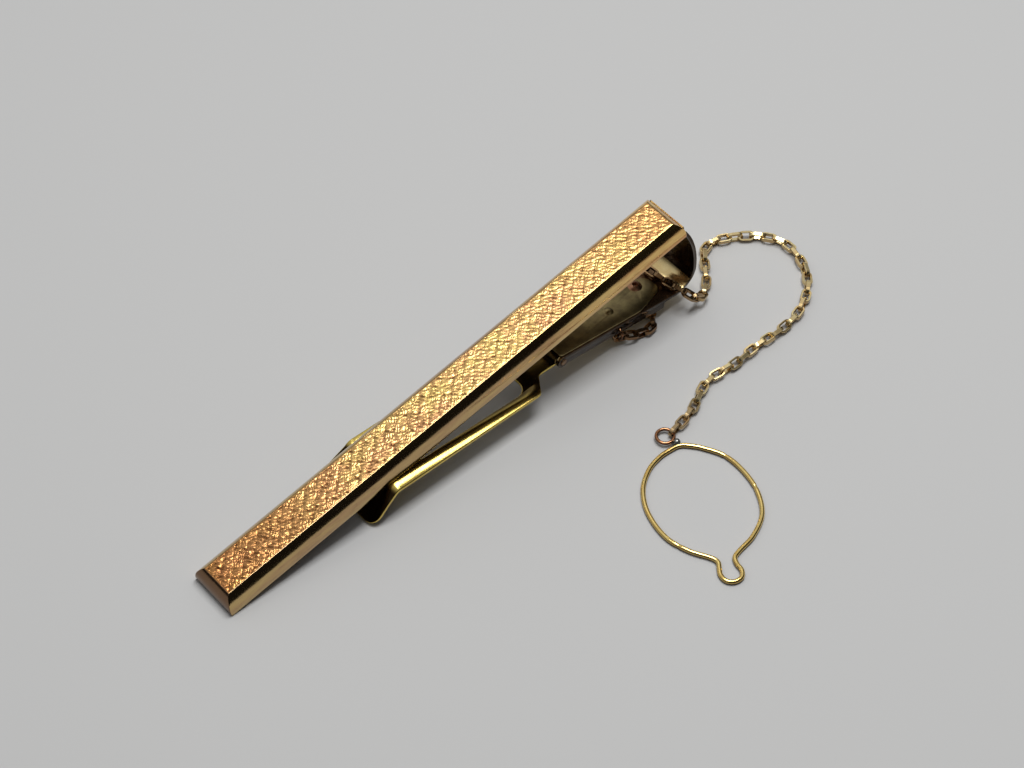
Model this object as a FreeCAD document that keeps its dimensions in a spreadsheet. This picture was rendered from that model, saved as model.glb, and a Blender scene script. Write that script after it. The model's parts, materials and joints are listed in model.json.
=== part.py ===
"""Tie clip: a hollow bevelled bar, a sprung strip with a hinged jaw, a safety chain and a button loop.

The clip lies as it does on a table. X runs along the bar towards the bow, Y across it and Z up.
Lengths are in millimetres and angles in degrees.
"""
import FreeCAD, Part
import math
import os

import Sketcher

V = FreeCAD.Vector
Y_AXIS = V(0, 1, 0)
Z_AXIS = V(0, 0, 1)

# Driving dimensions, one sheet row each: alias, value, meaning
SIZES = (
    ("bar_length", 63.5, "front bar, end to end"),
    ("bar_width", 6.0, "front bar, over its side walls"),
    ("bar_height", 2.4, "front bar, from its open back to its face"),
    ("bevel_run", 0.95, "bevel round the face, seen from above"),
    ("bevel_drop", 1.05, "bevel round the face, seen from the side"),
    ("bar_sheet", 0.4, "sheet that the bar is folded from"),
    ("strip_sheet", 0.45, "sheet that the bow strip is bent from"),
    ("strip_clearance", 0.05, "strip to the bar's wall, each side"),
    ("leg_length", 9.0, "leg of the strip soldered inside the bar"),
    ("leg_width", 3.6, "leg of the strip, across"),
    ("leg_shoulder", 0.5, "full width of the strip, back from the bar's end"),
    ("bow_setback", 2.6, "start of the bow, back from the bar's end"),
    ("bow_top_radius", 3.2, "bow, outer radius inside the bar"),
    ("bow_side_radius", 14.0, "bow, outer radius of its long side"),
    ("bow_foot_radius", 2.8, "bow, outer radius at its foot"),
    ("bow_top_turn", 68.0, "turn of the bow inside the bar"),
    ("bow_side_turn", 32.0, "turn of the bow's long side"),
    ("arm_angle", 19.0, "arm to the bar"),
    ("arm_length", 16.6, "foot of the bow to the hinge pin"),
    ("flange_sheet", 0.4, "flange of the arm"),
    ("flange_drop", 0.9, "flange below the arm's plate"),
    ("flange_setback", 1.4, "end of the flange, back from the bow's foot"),
    ("pin_drop", 0.4, "hinge pin below the arm's plate"),
    ("lug_radius", 0.78, "round end of each flange, about the pin"),
    ("barrel_radius", 0.8, "rolled barrel of the jaw"),
    ("barrel_clearance", 0.1, "barrel to the flanges, each side"),
    ("plate_gap", 0.25, "barrel to the end of the arm's plate"),
    ("pin_radius", 0.4, "hinge pin"),
    ("pin_clearance", 0.03, "hinge pin to the barrel's bore"),
    ("seat_clearance", 0.01, "fixed pin or rivet to its hole"),
    ("pin_proud", 0.12, "domed end of the pin beyond its flange"),
    ("leaf_sheet", 0.25, "leaf spring"),
    ("leaf_width", 4.8, "leaf spring, across"),
    ("leaf_overhang", 0.45, "leaf spring beyond the pin, over the barrel"),
    ("leaf_corner", 0.4, "corner of the leaf spring over the barrel"),
    ("tongue_setback", 0.9, "tip of the tongue, back from the bow's foot"),
    ("tongue_length", 4.2, "tapered tongue of the leaf spring"),
    ("tongue_tip_width", 2.2, "tongue at its tip"),
    ("tongue_shoulder", 4.0, "rounding where the tongue starts"),
    ("tongue_corner", 1.0, "rounding of the tongue's tip"),
    ("rivet_setback", 3.0, "rivet, back from the bow's foot"),
    ("rivet_offset", 0.8, "rivet, off the arm's middle"),
    ("rivet_radius", 0.5, "rivet shank"),
    ("rivet_head_radius", 0.85, "rivet head"),
    ("rivet_head_rise", 0.28, "rivet head above the leaf spring"),
    ("rivet_bore", 0.34, "hollow in the rivet's head"),
    ("rivet_bore_depth", 0.35, "depth of the hollow"),
    ("dimple_setback", 8.15, "dimple, back from the bow's foot"),
    ("dimple_offset", 0.4, "dimple, off the arm's middle"),
    ("dimple_radius", 0.55, "raised dimple, seen from above"),
    ("dimple_rise", 0.22, "raised dimple above the leaf spring"),
    ("jaw_sheet", 0.4, "sheet that the jaw is bent from"),
    ("jaw_reach", 23.8, "hinge pin to the knee's bend"),
    ("jaw_width", 8.0, "jaw, over its rails"),
    ("knee_radius", 2.4, "knee, inner radius"),
    ("knee_turn", 60.0, "turn of the knee into the lip"),
    ("knee_gap", 0.04, "knee to the bar's back"),
    ("lip_length", 2.8, "straight part of the lip"),
    ("lip_corner", 1.6, "round corner of the lip"),
    ("neck_width", 3.8, "neck between the barrel and the shoulders"),
    ("neck_length", 2.7, "hinge pin to the start of the shoulders"),
    ("neck_fillet", 0.9, "hollow rounding under the shoulders"),
    ("shoulder_length", 1.5, "shoulders, along the jaw"),
    ("shoulder_round", 0.7, "round corner of the shoulders"),
    ("rail_radius", 0.45, "rolled rail along each side"),
    ("rail_inset", 0.5, "rail's end, back from the shoulders"),
    ("window_setback", 1.0, "window, back from the shoulders"),
    ("window_margin", 3.0, "window to the knee's bend"),
    ("window_width", 5.0, "window, across"),
    ("window_corner", 1.5, "round corner of the window"),
    ("ring_setback", 8.2, "chain ring, back from the bow's foot"),
    ("ring_height", 0.05, "hole for the chain ring, above the pin's height"),
    ("ring_hole", 0.28, "hole for the chain ring"),
    ("ring_radius", 0.7, "chain ring, to the middle of its wire"),
    ("ring_wire", 0.14, "wire of the chain ring, radius"),
    ("chain_lift", 1.25, "room for the chain under the arm"),
    ("link_wire", 0.15, "wire of a chain link, radius"),
    ("link_width", 1.2, "chain link, over its sides"),
    ("link_play", 0.09, "wire to wire between two links"),
    ("loop_wire", 0.275, "wire of the button loop, radius"),
    ("loop_half_length", 7.2, "button loop along its axis, to the wire's middle"),
    ("loop_half_width", 6.05, "button loop across, to the wire's middle"),
    ("loop_end_turn", 58.6, "turn of each round end of the button loop, from its axis"),
    ("tail_radius", 1.35, "keyhole tail, to the wire's middle"),
    ("tail_fillet", 0.75, "bends into the keyhole tail"),
    ("tail_neck", 1.7, "neck of the keyhole tail, between wire middles"),
    ("eye_radius", 0.62, "eye on the button loop, to the wire's middle"),
    ("eye_wire", 0.17, "wire of the eye, radius"),
    ("eye_stand", 0.95, "wire of the eye from the button loop's wire, middle to middle"),
    ("eye_rise", 0.25, "eye above the button loop's middle"),
    ("solder_radius", 0.42, "solder bead"),
    ("solder_rise", 0.165, "solder bead above the button loop's middle"),
)

STRIP_WIDTH = "bar_width - 2 * bar_sheet - 2 * strip_clearance"
ARC_SHARES = (0, 0.5, 1)
VOLUME_ERROR_SHARE = 0.01

# Places along the chain: the smooth line starts in the chain ring and ends in the eye
CHAIN_ROUTE = (
    (20.9, -2.29, 1.394),
    (22.4, -2.75, 1.1),
    (24.0, -3.4, 0.67),
    (25.65, -3.55, 0.61),
    (26.85, -2.1, 0.61),
    (26.7, 0.2, 0.61),
    (26.3, 2.0, 0.61),
    (26.0, 3.9, 0.61),
    (26.4, 5.9, 0.8),
    (28.1, 6.7, 1.6),
    (29.7, 5.3, 2.6),
    (29.3, 3.1, 3.0),
    (29.35, 1.3, 2.94),
    (29.6, -0.4, 2.92),
    (29.85, -1.7, 2.94),
    (30.12, -3.05, 3.05),
    (30.65, -4.1, 2.45),
    (31.8, -4.35, 1.35),
    (33.6, -3.5, 0.55),
    (35.2, -2.0, 0.48),
    (36.5, -0.3, 0.48),
    (37.5, 1.1, 0.48),
    (39.4, 1.4, 0.48),
    (41.6, 0.3, 0.48),
    (43.4, -0.9, 0.48),
    (45.3, -3.1, 0.48),
    (45.6, -5.6, 0.48),
    (44.3, -8.9, 0.48),
    (42.2, -11.0, 0.48),
    (39.4, -12.5, 0.48),
    (36.0, -12.9, 0.48),
    (32.0, -12.7, 0.48),
    (28.2, -13.1, 0.49),
    (25.2, -12.5, 0.57),
    (22.8, -13.5, 0.61),
    (20.9, -14.6, 0.61),
    (19.0, -15.0, 0.61),
    (18.0, -15.17, 0.61),
    (16.99, -15.34, 0.61),
)
LINK_COUNT = 63
LINKS_PER_NODE = 2
LINK_ROLL = 45.0
LINK_TWISTS = ((0, -45.0), (9, -45.0), (15, 0.0), (53, 0.0), (61, -45.0), (62, -45.0))
LOOP_HEADING = 244.5
EYE_HEADING = 96.0


def write_sheet(doc):
    """Put the driving dimensions in the document's sheet and return a reader of its values."""
    sheet = doc.addObject("Spreadsheet::Sheet", "Sizes")
    for row, (alias, value, meaning) in enumerate(SIZES, 1):
        sheet.set(f"A{row}", meaning)
        sheet.set(f"B{row}", str(value))
        sheet.setAlias(f"B{row}", alias)
    doc.recompute()
    return lambda alias: float(sheet.get(alias))


def bind(obj, **formulas):
    """Tie properties of an object to formulas in the sheet's aliases."""
    for name, formula in formulas.items():
        words = formula.split()
        bound = " ".join(f"Sizes.{word}" if word[0].isalpha() else word for word in words)
        obj.setExpression(name, bound)


def primitive(doc, kind, name, place=None, **formulas):
    """Make one Part primitive with its sizes bound to the sheet."""
    obj = doc.addObject(f"Part::{kind}", name)
    bind(obj, **formulas)
    if place is not None:
        obj.Placement = place
    return obj


def fuse(doc, name, shapes):
    """Join objects into one solid."""
    obj = doc.addObject("Part::MultiFuse", name)
    obj.Shapes = shapes
    obj.Refine = True
    return obj


def cut(doc, name, base, tool):
    """Cut one object from another."""
    obj = doc.addObject("Part::Cut", name)
    obj.Base = base
    obj.Tool = tool
    obj.Refine = True
    return obj


def extrude(doc, name, profile, direction, length, symmetric=True):
    """Extrude a flat profile by a length bound to the sheet."""
    obj = doc.addObject("Part::Extrusion", name)
    obj.Base = profile
    obj.DirMode = "Custom"
    obj.Dir = direction
    obj.Solid = True
    obj.Symmetric = symmetric
    bind(obj, LengthFwd=length)
    return obj


def feature(doc, name, shape):
    """Keep a shape worked out from the sheet's values."""
    obj = doc.addObject("Part::Feature", name)
    obj.Shape = shape
    return obj


def turned(x, y, z, axis, angle):
    """Placement at a point, turned about an axis."""
    return FreeCAD.Placement(V(x, y, z), FreeCAD.Rotation(axis, angle))


def heading_vectors(heading):
    """Forward and right-hand directions in the XZ plane; headings run clockwise from +X."""
    angle = math.radians(heading)
    forward = V(math.cos(angle), 0, -math.sin(angle))
    return forward, V(-math.sin(angle), 0, -math.cos(angle))


def bent_sheet(start, heading, moves, sheet):
    """Face of a bent sheet seen from the side.

    The left-hand surface follows the moves, ("run", length) or ("turn", radius, angle), where an angle
    above zero turns right; the sheet lies on its right. Returns the face, the last point of the left-hand
    surface, and the centre of each turn.
    """
    left, right, centres = [], [], []
    point = start
    for move in moves:
        forward, side = heading_vectors(heading)
        if move[0] == "run":
            following = point + forward * move[1]
            left.append(Part.LineSegment(point, following).toShape())
            right.append(Part.LineSegment(point + side * sheet, following + side * sheet).toShape())
        else:
            radius, angle = move[1], move[2]
            toward = math.copysign(1, angle)
            centre = point + side * (radius * toward)
            arms = [heading_vectors(heading + angle * share)[1] * -toward for share in ARC_SHARES]
            inner = radius - sheet * toward
            left.append(Part.Arc(*[centre + arm * radius for arm in arms]).toShape())
            right.append(Part.Arc(*[centre + arm * inner for arm in arms]).toShape())
            following = centre + arms[-1] * radius
            heading += angle
            centres.append(centre)
        point = following
    side = heading_vectors(heading)[1]
    last = Part.LineSegment(point, point + side * sheet).toShape()
    first_end = right[0].Vertexes[0].Point
    first = Part.LineSegment(start, first_end).toShape()
    wire = Part.Wire(Part.__sortEdges__(left + right + [first, last]))
    return Part.Face(wire), point, centres


def rounded_outline(corners):
    """Flat outline through corners (x, y, radius), each rounded by an arc that touches its two sides."""
    places = [V(x, y, 0) for x, y, _ in corners]
    ends = []
    for index, (_, _, radius) in enumerate(corners):
        here = places[index]
        before = (places[index - 1] - here).normalize()
        after = (places[(index + 1) % len(corners)] - here).normalize()
        half = before.getAngle(after) / 2
        reach = radius / math.tan(half)
        middle = here + (before + after).normalize() * (radius / math.sin(half) - radius)
        ends.append((here + before * reach, middle, here + after * reach, radius))
    edges = []
    for index, (begin, middle, end, radius) in enumerate(ends):
        if radius > 0:
            edges.append(Part.Arc(begin, middle, end).toShape())
        edges.append(Part.LineSegment(end, ends[(index + 1) % len(ends)][0]).toShape())
    return Part.Wire(Part.__sortEdges__(edges))


def mirrored(half):
    """Corners of a whole outline from one half, given from one end of the axis to the other."""
    return [(x, -y, radius) for x, y, radius in half] + list(reversed(half))


def front_bar(doc, size):
    """Hollow bar: a block bevelled round its face and shelled from its back, with a notch for the strip."""
    body = doc.addObject("PartDesign::Body", "front_bar")
    planes = {plane.Role: plane for plane in body.Origin.OriginFeatures}

    def sketch(name, plane, corners):
        drawn = body.newObject("Sketcher::SketchObject", name)
        drawn.AttachmentSupport = [(planes[plane], "")]
        drawn.MapMode = "FlatFace"
        points = [V(x, y, 0) for x, y in corners]
        for begin, end in zip(points, points[1:] + points[:1]):
            drawn.addGeometry(Part.LineSegment(begin, end), False)
        for index in range(len(points)):
            drawn.addConstraint(Sketcher.Constraint("Coincident", index, 2, (index + 1) % len(points), 1))
        for index, kind in enumerate(("Horizontal", "Vertical", "Horizontal", "Vertical")):
            drawn.addConstraint(Sketcher.Constraint(kind, index))
        return drawn

    def dimension(drawn, name, constraint, formula):
        drawn.renameConstraint(drawn.addConstraint(Sketcher.Constraint(*constraint)), name)
        bind(drawn, **{f"Constraints.{name}": formula})

    length, half = size("bar_length"), size("bar_width") / 2
    plan = sketch("bar_plan", "XY_Plane", ((0, -half), (length, -half), (length, half), (0, half)))
    plan.addConstraint(Sketcher.Constraint("PointOnObject", 0, 1, -2))
    dimension(plan, "length", ("DistanceX", 0, 1, 0, 2, length), "bar_length")
    dimension(plan, "near", ("DistanceY", 0, 1, -1, 1, half), "bar_width / 2")
    dimension(plan, "far", ("DistanceY", -1, 1, 2, 1, half), "bar_width / 2")
    block = body.newObject("PartDesign::Pad", "bar_block")
    block.Profile = plan
    bind(block, Length="bar_height")
    doc.recompute()

    middle = size("bar_height") / 2
    rim = [f"Edge{n}" for n, edge in enumerate(block.Shape.Edges, 1) if edge.BoundBox.ZMin > middle]
    bevel = body.newObject("PartDesign::Chamfer", "bar_bevel")
    bevel.Base = (block, rim)
    bevel.ChamferType = 1
    bind(bevel, Size="bevel_drop", Size2="bevel_run")
    doc.recompute()

    back = [f"Face{n}" for n, face in enumerate(bevel.Shape.Faces, 1) if face.BoundBox.ZMax < middle / 2]
    shell = body.newObject("PartDesign::Thickness", "bar_shell")
    shell.Base = (bevel, back)
    shell.Join = 1
    shell.Reversed = True
    bind(shell, Value="bar_sheet")
    doc.recompute()

    inner = half - size("bar_sheet")
    wall = size("bar_height") - size("bevel_drop")
    corners = ((-inner, 0), (inner, 0), (inner, wall), (-inner, wall))
    notch_plan = sketch("notch_plan", "YZ_Plane", corners)
    notch_plan.addConstraint(Sketcher.Constraint("PointOnObject", 0, 1, -1))
    dimension(notch_plan, "near", ("DistanceX", 0, 1, -1, 1, inner), "bar_width / 2 - bar_sheet")
    dimension(notch_plan, "far", ("DistanceX", -1, 1, 1, 1, inner), "bar_width / 2 - bar_sheet")
    dimension(notch_plan, "high", ("DistanceY", 1, 1, 1, 2, wall), "bar_height - bevel_drop")
    bind(notch_plan, **{"AttachmentOffset.Base.z": "bar_length - bevel_run"})
    notch = body.newObject("PartDesign::Pocket", "bar_notch")
    notch.Profile = notch_plan
    notch.Reversed = True
    bind(notch, Length="bevel_run")
    doc.recompute()
    if notch.Shape.Volume >= shell.Shape.Volume:
        raise RuntimeError("the notch in the bar's end cut nothing")
    return body


class Layout:
    """Places that follow from the sizes: the hinge pin, the slopes of arm and jaw, and the clip's tilt."""

    def __init__(self, size):
        self.leg_top = size("bar_height") - size("bar_sheet")
        self.strip_half = size("bar_width") / 2 - size("bar_sheet") - size("strip_clearance")
        bow_start = size("bar_length") - size("bow_setback")
        foot_turn = 180 + size("arm_angle") - size("bow_top_turn") - size("bow_side_turn")
        plate_end = size("barrel_radius") + size("plate_gap")
        self.profile, plate_tip, centres = bent_sheet(
            V(bow_start - size("leg_length"), 0, self.leg_top),
            0,
            (
                ("run", size("leg_length")),
                ("turn", size("bow_top_radius"), size("bow_top_turn")),
                ("turn", size("bow_side_radius"), size("bow_side_turn")),
                ("turn", size("bow_foot_radius"), foot_turn),
                ("run", size("arm_length") - plate_end),
            ),
            size("strip_sheet"),
        )
        slope = math.radians(size("arm_angle"))
        along = V(math.cos(slope), 0, -math.sin(slope))
        upward = V(math.sin(slope), 0, math.cos(slope))
        self.pin = plate_tip - along * plate_end - upward * size("pin_drop")
        self.arm = FreeCAD.Placement(self.pin, FreeCAD.Rotation(Y_AXIS, size("arm_angle")))
        self.plate_low = size("pin_drop")
        self.plate_top = self.plate_low + size("strip_sheet")
        self.flange_low = self.plate_low - size("flange_drop")
        self.flange_end = size("arm_length") - size("flange_setback")

        knee_top = size("knee_radius") + size("jaw_sheet")
        below = size("barrel_radius") + size("knee_radius")
        rise = -size("knee_gap") - knee_top - self.pin.z
        reach = math.hypot(size("jaw_reach"), below)
        jaw_angle = math.asin(rise / reach) + math.atan2(below, size("jaw_reach"))
        self.jaw = FreeCAD.Placement(self.pin, FreeCAD.Rotation(Y_AXIS, math.degrees(jaw_angle)))

        corner = self.arm.multVec(V(self.flange_end, 0, self.flange_low))
        foot = centres[-1]
        self.tilt = max(
            self.tilt_for(corner, size("chain_lift")),
            self.tilt_for(foot, size("chain_lift") + size("bow_foot_radius")),
        )

    @staticmethod
    def tilt_for(point, height):
        """Tilt of the bar that holds a point of the clip at a height over the table."""
        return math.degrees(math.asin(height / math.hypot(point.x, point.z)) - math.atan2(point.z, point.x))

    def tilted(self, shift=0.0):
        """Placement of the bar on the table."""
        return turned(shift, 0, 0, Y_AXIS, -self.tilt)


def bow_strip(doc, size, layout):
    """Strip with its leg, bow and flanged arm, and the holes for the pin, the rivet and the chain ring."""
    profile = feature(doc, "strip_profile", layout.profile)
    strip = extrude(doc, "strip_bent", profile, Y_AXIS, STRIP_WIDTH)
    leg_start = size("bar_length") - size("bow_setback") - size("leg_length")
    trims = []
    for name, side in (("near", -layout.strip_half), ("far", size("leg_width") / 2)):
        corner = FreeCAD.Placement(V(leg_start, side, size("bar_sheet")), FreeCAD.Rotation())
        trims.append(primitive(
            doc, "Box", f"leg_trim_{name}", corner,
            Length="leg_length + bow_setback - leg_shoulder",
            Width="( bar_width - leg_width ) / 2 - bar_sheet - strip_clearance",
            Height="bar_height - bar_sheet",
        ))
    pieces = [cut(doc, "strip_trimmed", strip, fuse(doc, "leg_trims", trims))]
    half = layout.strip_half
    for name, outer in (("near", -half), ("far", half - size("flange_sheet"))):
        base = layout.arm.multiply(FreeCAD.Placement(V(0, outer, layout.flange_low), FreeCAD.Rotation()))
        flange = primitive(
            doc, "Box", f"flange_{name}", base,
            Length="arm_length - flange_setback",
            Width="flange_sheet",
            Height="flange_drop + strip_sheet",
        )
        spin = layout.arm.multiply(turned(0, outer, 0, V(1, 0, 0), -90))
        lug = primitive(doc, "Cylinder", f"lug_{name}", spin, Radius="lug_radius", Height="flange_sheet")
        pieces += [flange, lug]
    joined = fuse(doc, "strip_joined", pieces)

    across = layout.arm.multiply(turned(0, -half, 0, V(1, 0, 0), -90))
    pin_hole = primitive(
        doc, "Cylinder", "pin_hole", across,
        Radius="pin_radius + seat_clearance", Height=STRIP_WIDTH,
    )
    rivet_place = layout.arm.multiply(rivet_seat(size, layout))
    rivet_hole = primitive(
        doc, "Cylinder", "rivet_hole", rivet_place,
        Radius="rivet_radius + seat_clearance", Height="strip_sheet",
    )
    ring_x = size("arm_length") - size("ring_setback")
    ring_spot = turned(ring_x, -half, size("ring_height"), V(1, 0, 0), -90)
    ring_hole = primitive(
        doc, "Cylinder", "ring_hole", layout.arm.multiply(ring_spot),
        Radius="ring_hole", Height="flange_sheet",
    )
    holes = fuse(doc, "strip_holes", [pin_hole, rivet_hole, ring_hole])
    return cut(doc, "bow_strip", joined, holes)


def rivet_seat(size, layout):
    """Place of the rivet on the arm, at the plate's underside."""
    spot = V(size("arm_length") - size("rivet_setback"), size("rivet_offset"), layout.plate_low)
    return FreeCAD.Placement(spot, FreeCAD.Rotation())


def leaf_spring(doc, size, layout):
    """Spring plate on the arm's inner face: square over the barrel, a tongue at the rivet, and a dimple."""
    half, tip_half = size("leaf_width") / 2, size("tongue_tip_width") / 2
    tip = size("arm_length") - size("tongue_setback")
    start = tip - size("tongue_length")
    corners = mirrored([
        (-size("leaf_overhang"), half, size("leaf_corner")),
        (start, half, size("tongue_shoulder")),
        (tip, tip_half, size("tongue_corner")),
    ])
    outline = feature(doc, "leaf_outline", Part.Face(rounded_outline(corners)))
    outline.Placement = FreeCAD.Placement(V(0, 0, layout.plate_top), FreeCAD.Rotation())
    plate = extrude(doc, "leaf_plate", outline, Z_AXIS, "leaf_sheet", symmetric=False)
    hole = primitive(
        doc, "Cylinder", "leaf_hole",
        FreeCAD.Placement(rivet_seat(size, layout).Base + V(0, 0, size("strip_sheet")), FreeCAD.Rotation()),
        Radius="rivet_radius + seat_clearance", Height="leaf_sheet",
    )
    pierced = cut(doc, "leaf_pierced", plate, hole)

    rise, radius = size("dimple_rise"), size("dimple_radius")
    ball = (radius ** 2 + rise ** 2) / (2 * rise)
    leaf_top = layout.plate_top + size("leaf_sheet")
    spot = V(size("arm_length") - size("dimple_setback"), -size("dimple_offset"), leaf_top + rise - ball)
    dimple = primitive(
        doc, "Sphere", "leaf_dimple", FreeCAD.Placement(spot, FreeCAD.Rotation()),
        Radius="( dimple_radius ^ 2 + dimple_rise ^ 2 ) / ( 2 * dimple_rise )",
    )
    dimple.Angle1 = math.degrees(math.asin((ball - rise - size("leaf_sheet") / 2) / ball))
    return fuse(doc, "leaf_spring", [pierced, dimple])


def spring_rivet(doc, size, layout):
    """Eyelet rivet: a shank through the arm and the leaf spring, and a domed head with a hollow."""
    rise, radius = size("rivet_head_rise"), size("rivet_head_radius")
    ball = (radius ** 2 + rise ** 2) / (2 * rise)
    stack = size("strip_sheet") + size("leaf_sheet")
    shank = primitive(
        doc, "Cylinder", "rivet_shank",
        Radius="rivet_radius", Height="strip_sheet + leaf_sheet",
    )
    head = primitive(
        doc, "Sphere", "rivet_head", FreeCAD.Placement(V(0, 0, stack + rise - ball), FreeCAD.Rotation()),
        Radius="( rivet_head_radius ^ 2 + rivet_head_rise ^ 2 ) / ( 2 * rivet_head_rise )",
    )
    head.Angle1 = math.degrees(math.asin((ball - rise) / ball))
    solid = fuse(doc, "rivet_solid", [shank, head])
    hollow = primitive(
        doc, "Cylinder", "rivet_hollow",
        FreeCAD.Placement(V(0, 0, stack + rise - size("rivet_bore_depth")), FreeCAD.Rotation()),
        Radius="rivet_bore", Height="rivet_bore_depth",
    )
    return cut(doc, "spring_rivet", solid, hollow)


def hinge_pin(doc, size):
    """Hinge pin with domed ends, lying along Y about its own middle."""
    body = doc.addObject("PartDesign::Body", "hinge_pin")
    plane = next(plane for plane in body.Origin.OriginFeatures if plane.Role == "XZ_Plane")
    drawn = body.newObject("Sketcher::SketchObject", "pin_section")
    drawn.AttachmentSupport = [(plane, "")]
    drawn.MapMode = "FlatFace"
    drawn.addGeometry(Part.Circle(V(0, 0, 0), Z_AXIS, size("pin_radius")), False)
    drawn.addConstraint(Sketcher.Constraint("Coincident", 0, 3, -1, 1))
    radius = drawn.addConstraint(Sketcher.Constraint("Radius", 0, size("pin_radius")))
    drawn.renameConstraint(radius, "radius")
    bind(drawn, **{"Constraints.radius": "pin_radius"})
    rod = body.newObject("PartDesign::Pad", "pin_rod")
    rod.Profile = drawn
    rod.Midplane = True
    bind(rod, Length=f"{STRIP_WIDTH} + 2 * pin_proud")
    doc.recompute()
    rims = [f"Edge{n}" for n, edge in enumerate(rod.Shape.Edges, 1) if edge.Closed]
    dome = body.newObject("PartDesign::Fillet", "pin_domes")
    dome.Base = (rod, rims)
    bind(dome, Radius="pin_proud")
    doc.recompute()
    return body


def jaw(doc, size, layout):
    """Jaw about the pin: a bent plate trimmed to its outline and window, with rails and a barrel."""
    sheet, reach, half = size("jaw_sheet"), size("jaw_reach"), size("jaw_width") / 2
    barrel = size("barrel_radius")
    side, _, _ = bent_sheet(
        V(0, 0, -barrel),
        180,
        (
            ("run", reach),
            ("turn", size("knee_radius"), -size("knee_turn")),
            ("run", size("lip_length")),
        ),
        sheet,
    )
    bent = extrude(doc, "jaw_bent", feature(doc, "jaw_side", side), Y_AXIS, "jaw_width")
    lip_end = side.BoundBox.XMin
    neck, shoulder = size("neck_length"), size("neck_length") + size("shoulder_length")
    corners = mirrored([
        (lip_end, half, size("lip_corner")),
        (-shoulder, half, size("shoulder_round")),
        (-neck, size("neck_width") / 2, size("neck_fillet")),
        (0, size("neck_width") / 2, 0),
    ])
    window_near = -(shoulder + size("window_setback"))
    window_far = -(reach - size("window_margin"))
    opening = mirrored([
        (window_far, size("window_width") / 2, size("window_corner")),
        (window_near, size("window_width") / 2, size("window_corner")),
    ])
    plan = Part.Face(rounded_outline(corners)).cut(Part.Face(rounded_outline(opening)))
    trim = extrude(doc, "jaw_trim", feature(doc, "jaw_plan", plan), Z_AXIS, "jaw_reach")
    plate = doc.addObject("Part::Common", "jaw_plate")
    plate.Base = bent
    plate.Tool = trim

    pieces = [plate]
    rail_start = -(shoulder + size("rail_inset"))
    level = sheet / 2 - barrel
    for name, place in (("near", size("rail_radius") - half), ("far", half - size("rail_radius"))):
        rail = primitive(
            doc, "Cylinder", f"rail_{name}", turned(rail_start, place, level, Y_AXIS, -90),
            Radius="rail_radius",
            Height="jaw_reach - neck_length - shoulder_length - rail_inset",
        )
        pieces.append(rail)
        for end, x in (("hinge", rail_start), ("knee", -reach)):
            spot = FreeCAD.Placement(V(x, place, level), FreeCAD.Rotation())
            pieces.append(primitive(doc, "Sphere", f"rail_{name}_{end}", spot, Radius="rail_radius"))
    inner_half = layout.strip_half - size("flange_sheet") - size("barrel_clearance")
    across = turned(0, -inner_half, 0, V(1, 0, 0), -90)
    width = f"{STRIP_WIDTH} - 2 * flange_sheet - 2 * barrel_clearance"
    pieces.append(primitive(doc, "Cylinder", "jaw_barrel", across, Radius="barrel_radius", Height=width))
    bore = primitive(doc, "Cylinder", "jaw_bore", across, Radius="pin_radius + pin_clearance", Height=width)
    return cut(doc, "jaw", fuse(doc, "jaw_joined", pieces), bore)


def chain_ring(doc, size, layout):
    """Jump ring through the hole in the near flange, hanging below it."""
    middle = size("flange_sheet") / 2 - layout.strip_half
    ring_x = size("arm_length") - size("ring_setback")
    spot = turned(ring_x, middle, size("ring_height") - size("ring_radius"), Y_AXIS, 90)
    ring = primitive(doc, "Torus", "chain_ring", Radius1="ring_radius", Radius2="ring_wire")
    return ring, layout.arm.multiply(spot)


def chain_curve():
    """Smooth line of the chain: a clamped quadratic B-spline with the route's points as its poles."""
    poles = [V(*point) for point in CHAIN_ROUTE]
    spans = len(poles) - 2
    curve = Part.BSplineCurve()
    curve.buildFromPolesMultsKnots(poles, [3] + [1] * (spans - 1) + [3], list(range(spans + 1)), False, 2)
    return curve


def link_shape(size, pitch):
    """One chain link about its own middle: round wire along two half circles and two straight sides."""
    wire = size("link_wire")
    end_radius = size("link_width") / 2 - wire
    end = pitch / 2 + wire + size("link_play") / 2
    straight = end - end_radius
    top, low = V(-straight, end_radius, 0), V(-straight, -end_radius, 0)
    right_top, right_low = V(straight, end_radius, 0), V(straight, -end_radius, 0)
    path = Part.Wire([
        Part.LineSegment(top, right_top).toShape(),
        Part.Arc(right_top, V(end, 0, 0), right_low).toShape(),
        Part.LineSegment(right_low, low).toShape(),
        Part.Arc(low, V(-end, 0, 0), top).toShape(),
    ])
    return swept_wire(path, V(0, end_radius, 0), V(1, 0, 0), wire)


def swept_wire(path, start, direction, radius):
    """Solid of round wire along a closed path, with its volume checked against section times length."""
    section = Part.Wire(Part.makeCircle(radius, start, direction))
    solid = path.makePipeShell([section], True, False)
    expected = math.pi * radius ** 2 * path.Length
    if not solid.isValid() or abs(solid.Volume / expected - 1) > VOLUME_ERROR_SHARE:
        raise RuntimeError(f"swept wire has volume {solid.Volume:.3f}, not {expected:.3f}")
    return solid


def twist_of(index):
    """Twist of the chain at one link, straight between the listed links."""
    for (first, twist), (last, following) in zip(LINK_TWISTS, LINK_TWISTS[1:]):
        if index <= last:
            return twist + (following - twist) * (index - first) / (last - first)
    raise ValueError(f"no twist for link {index}")


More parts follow.
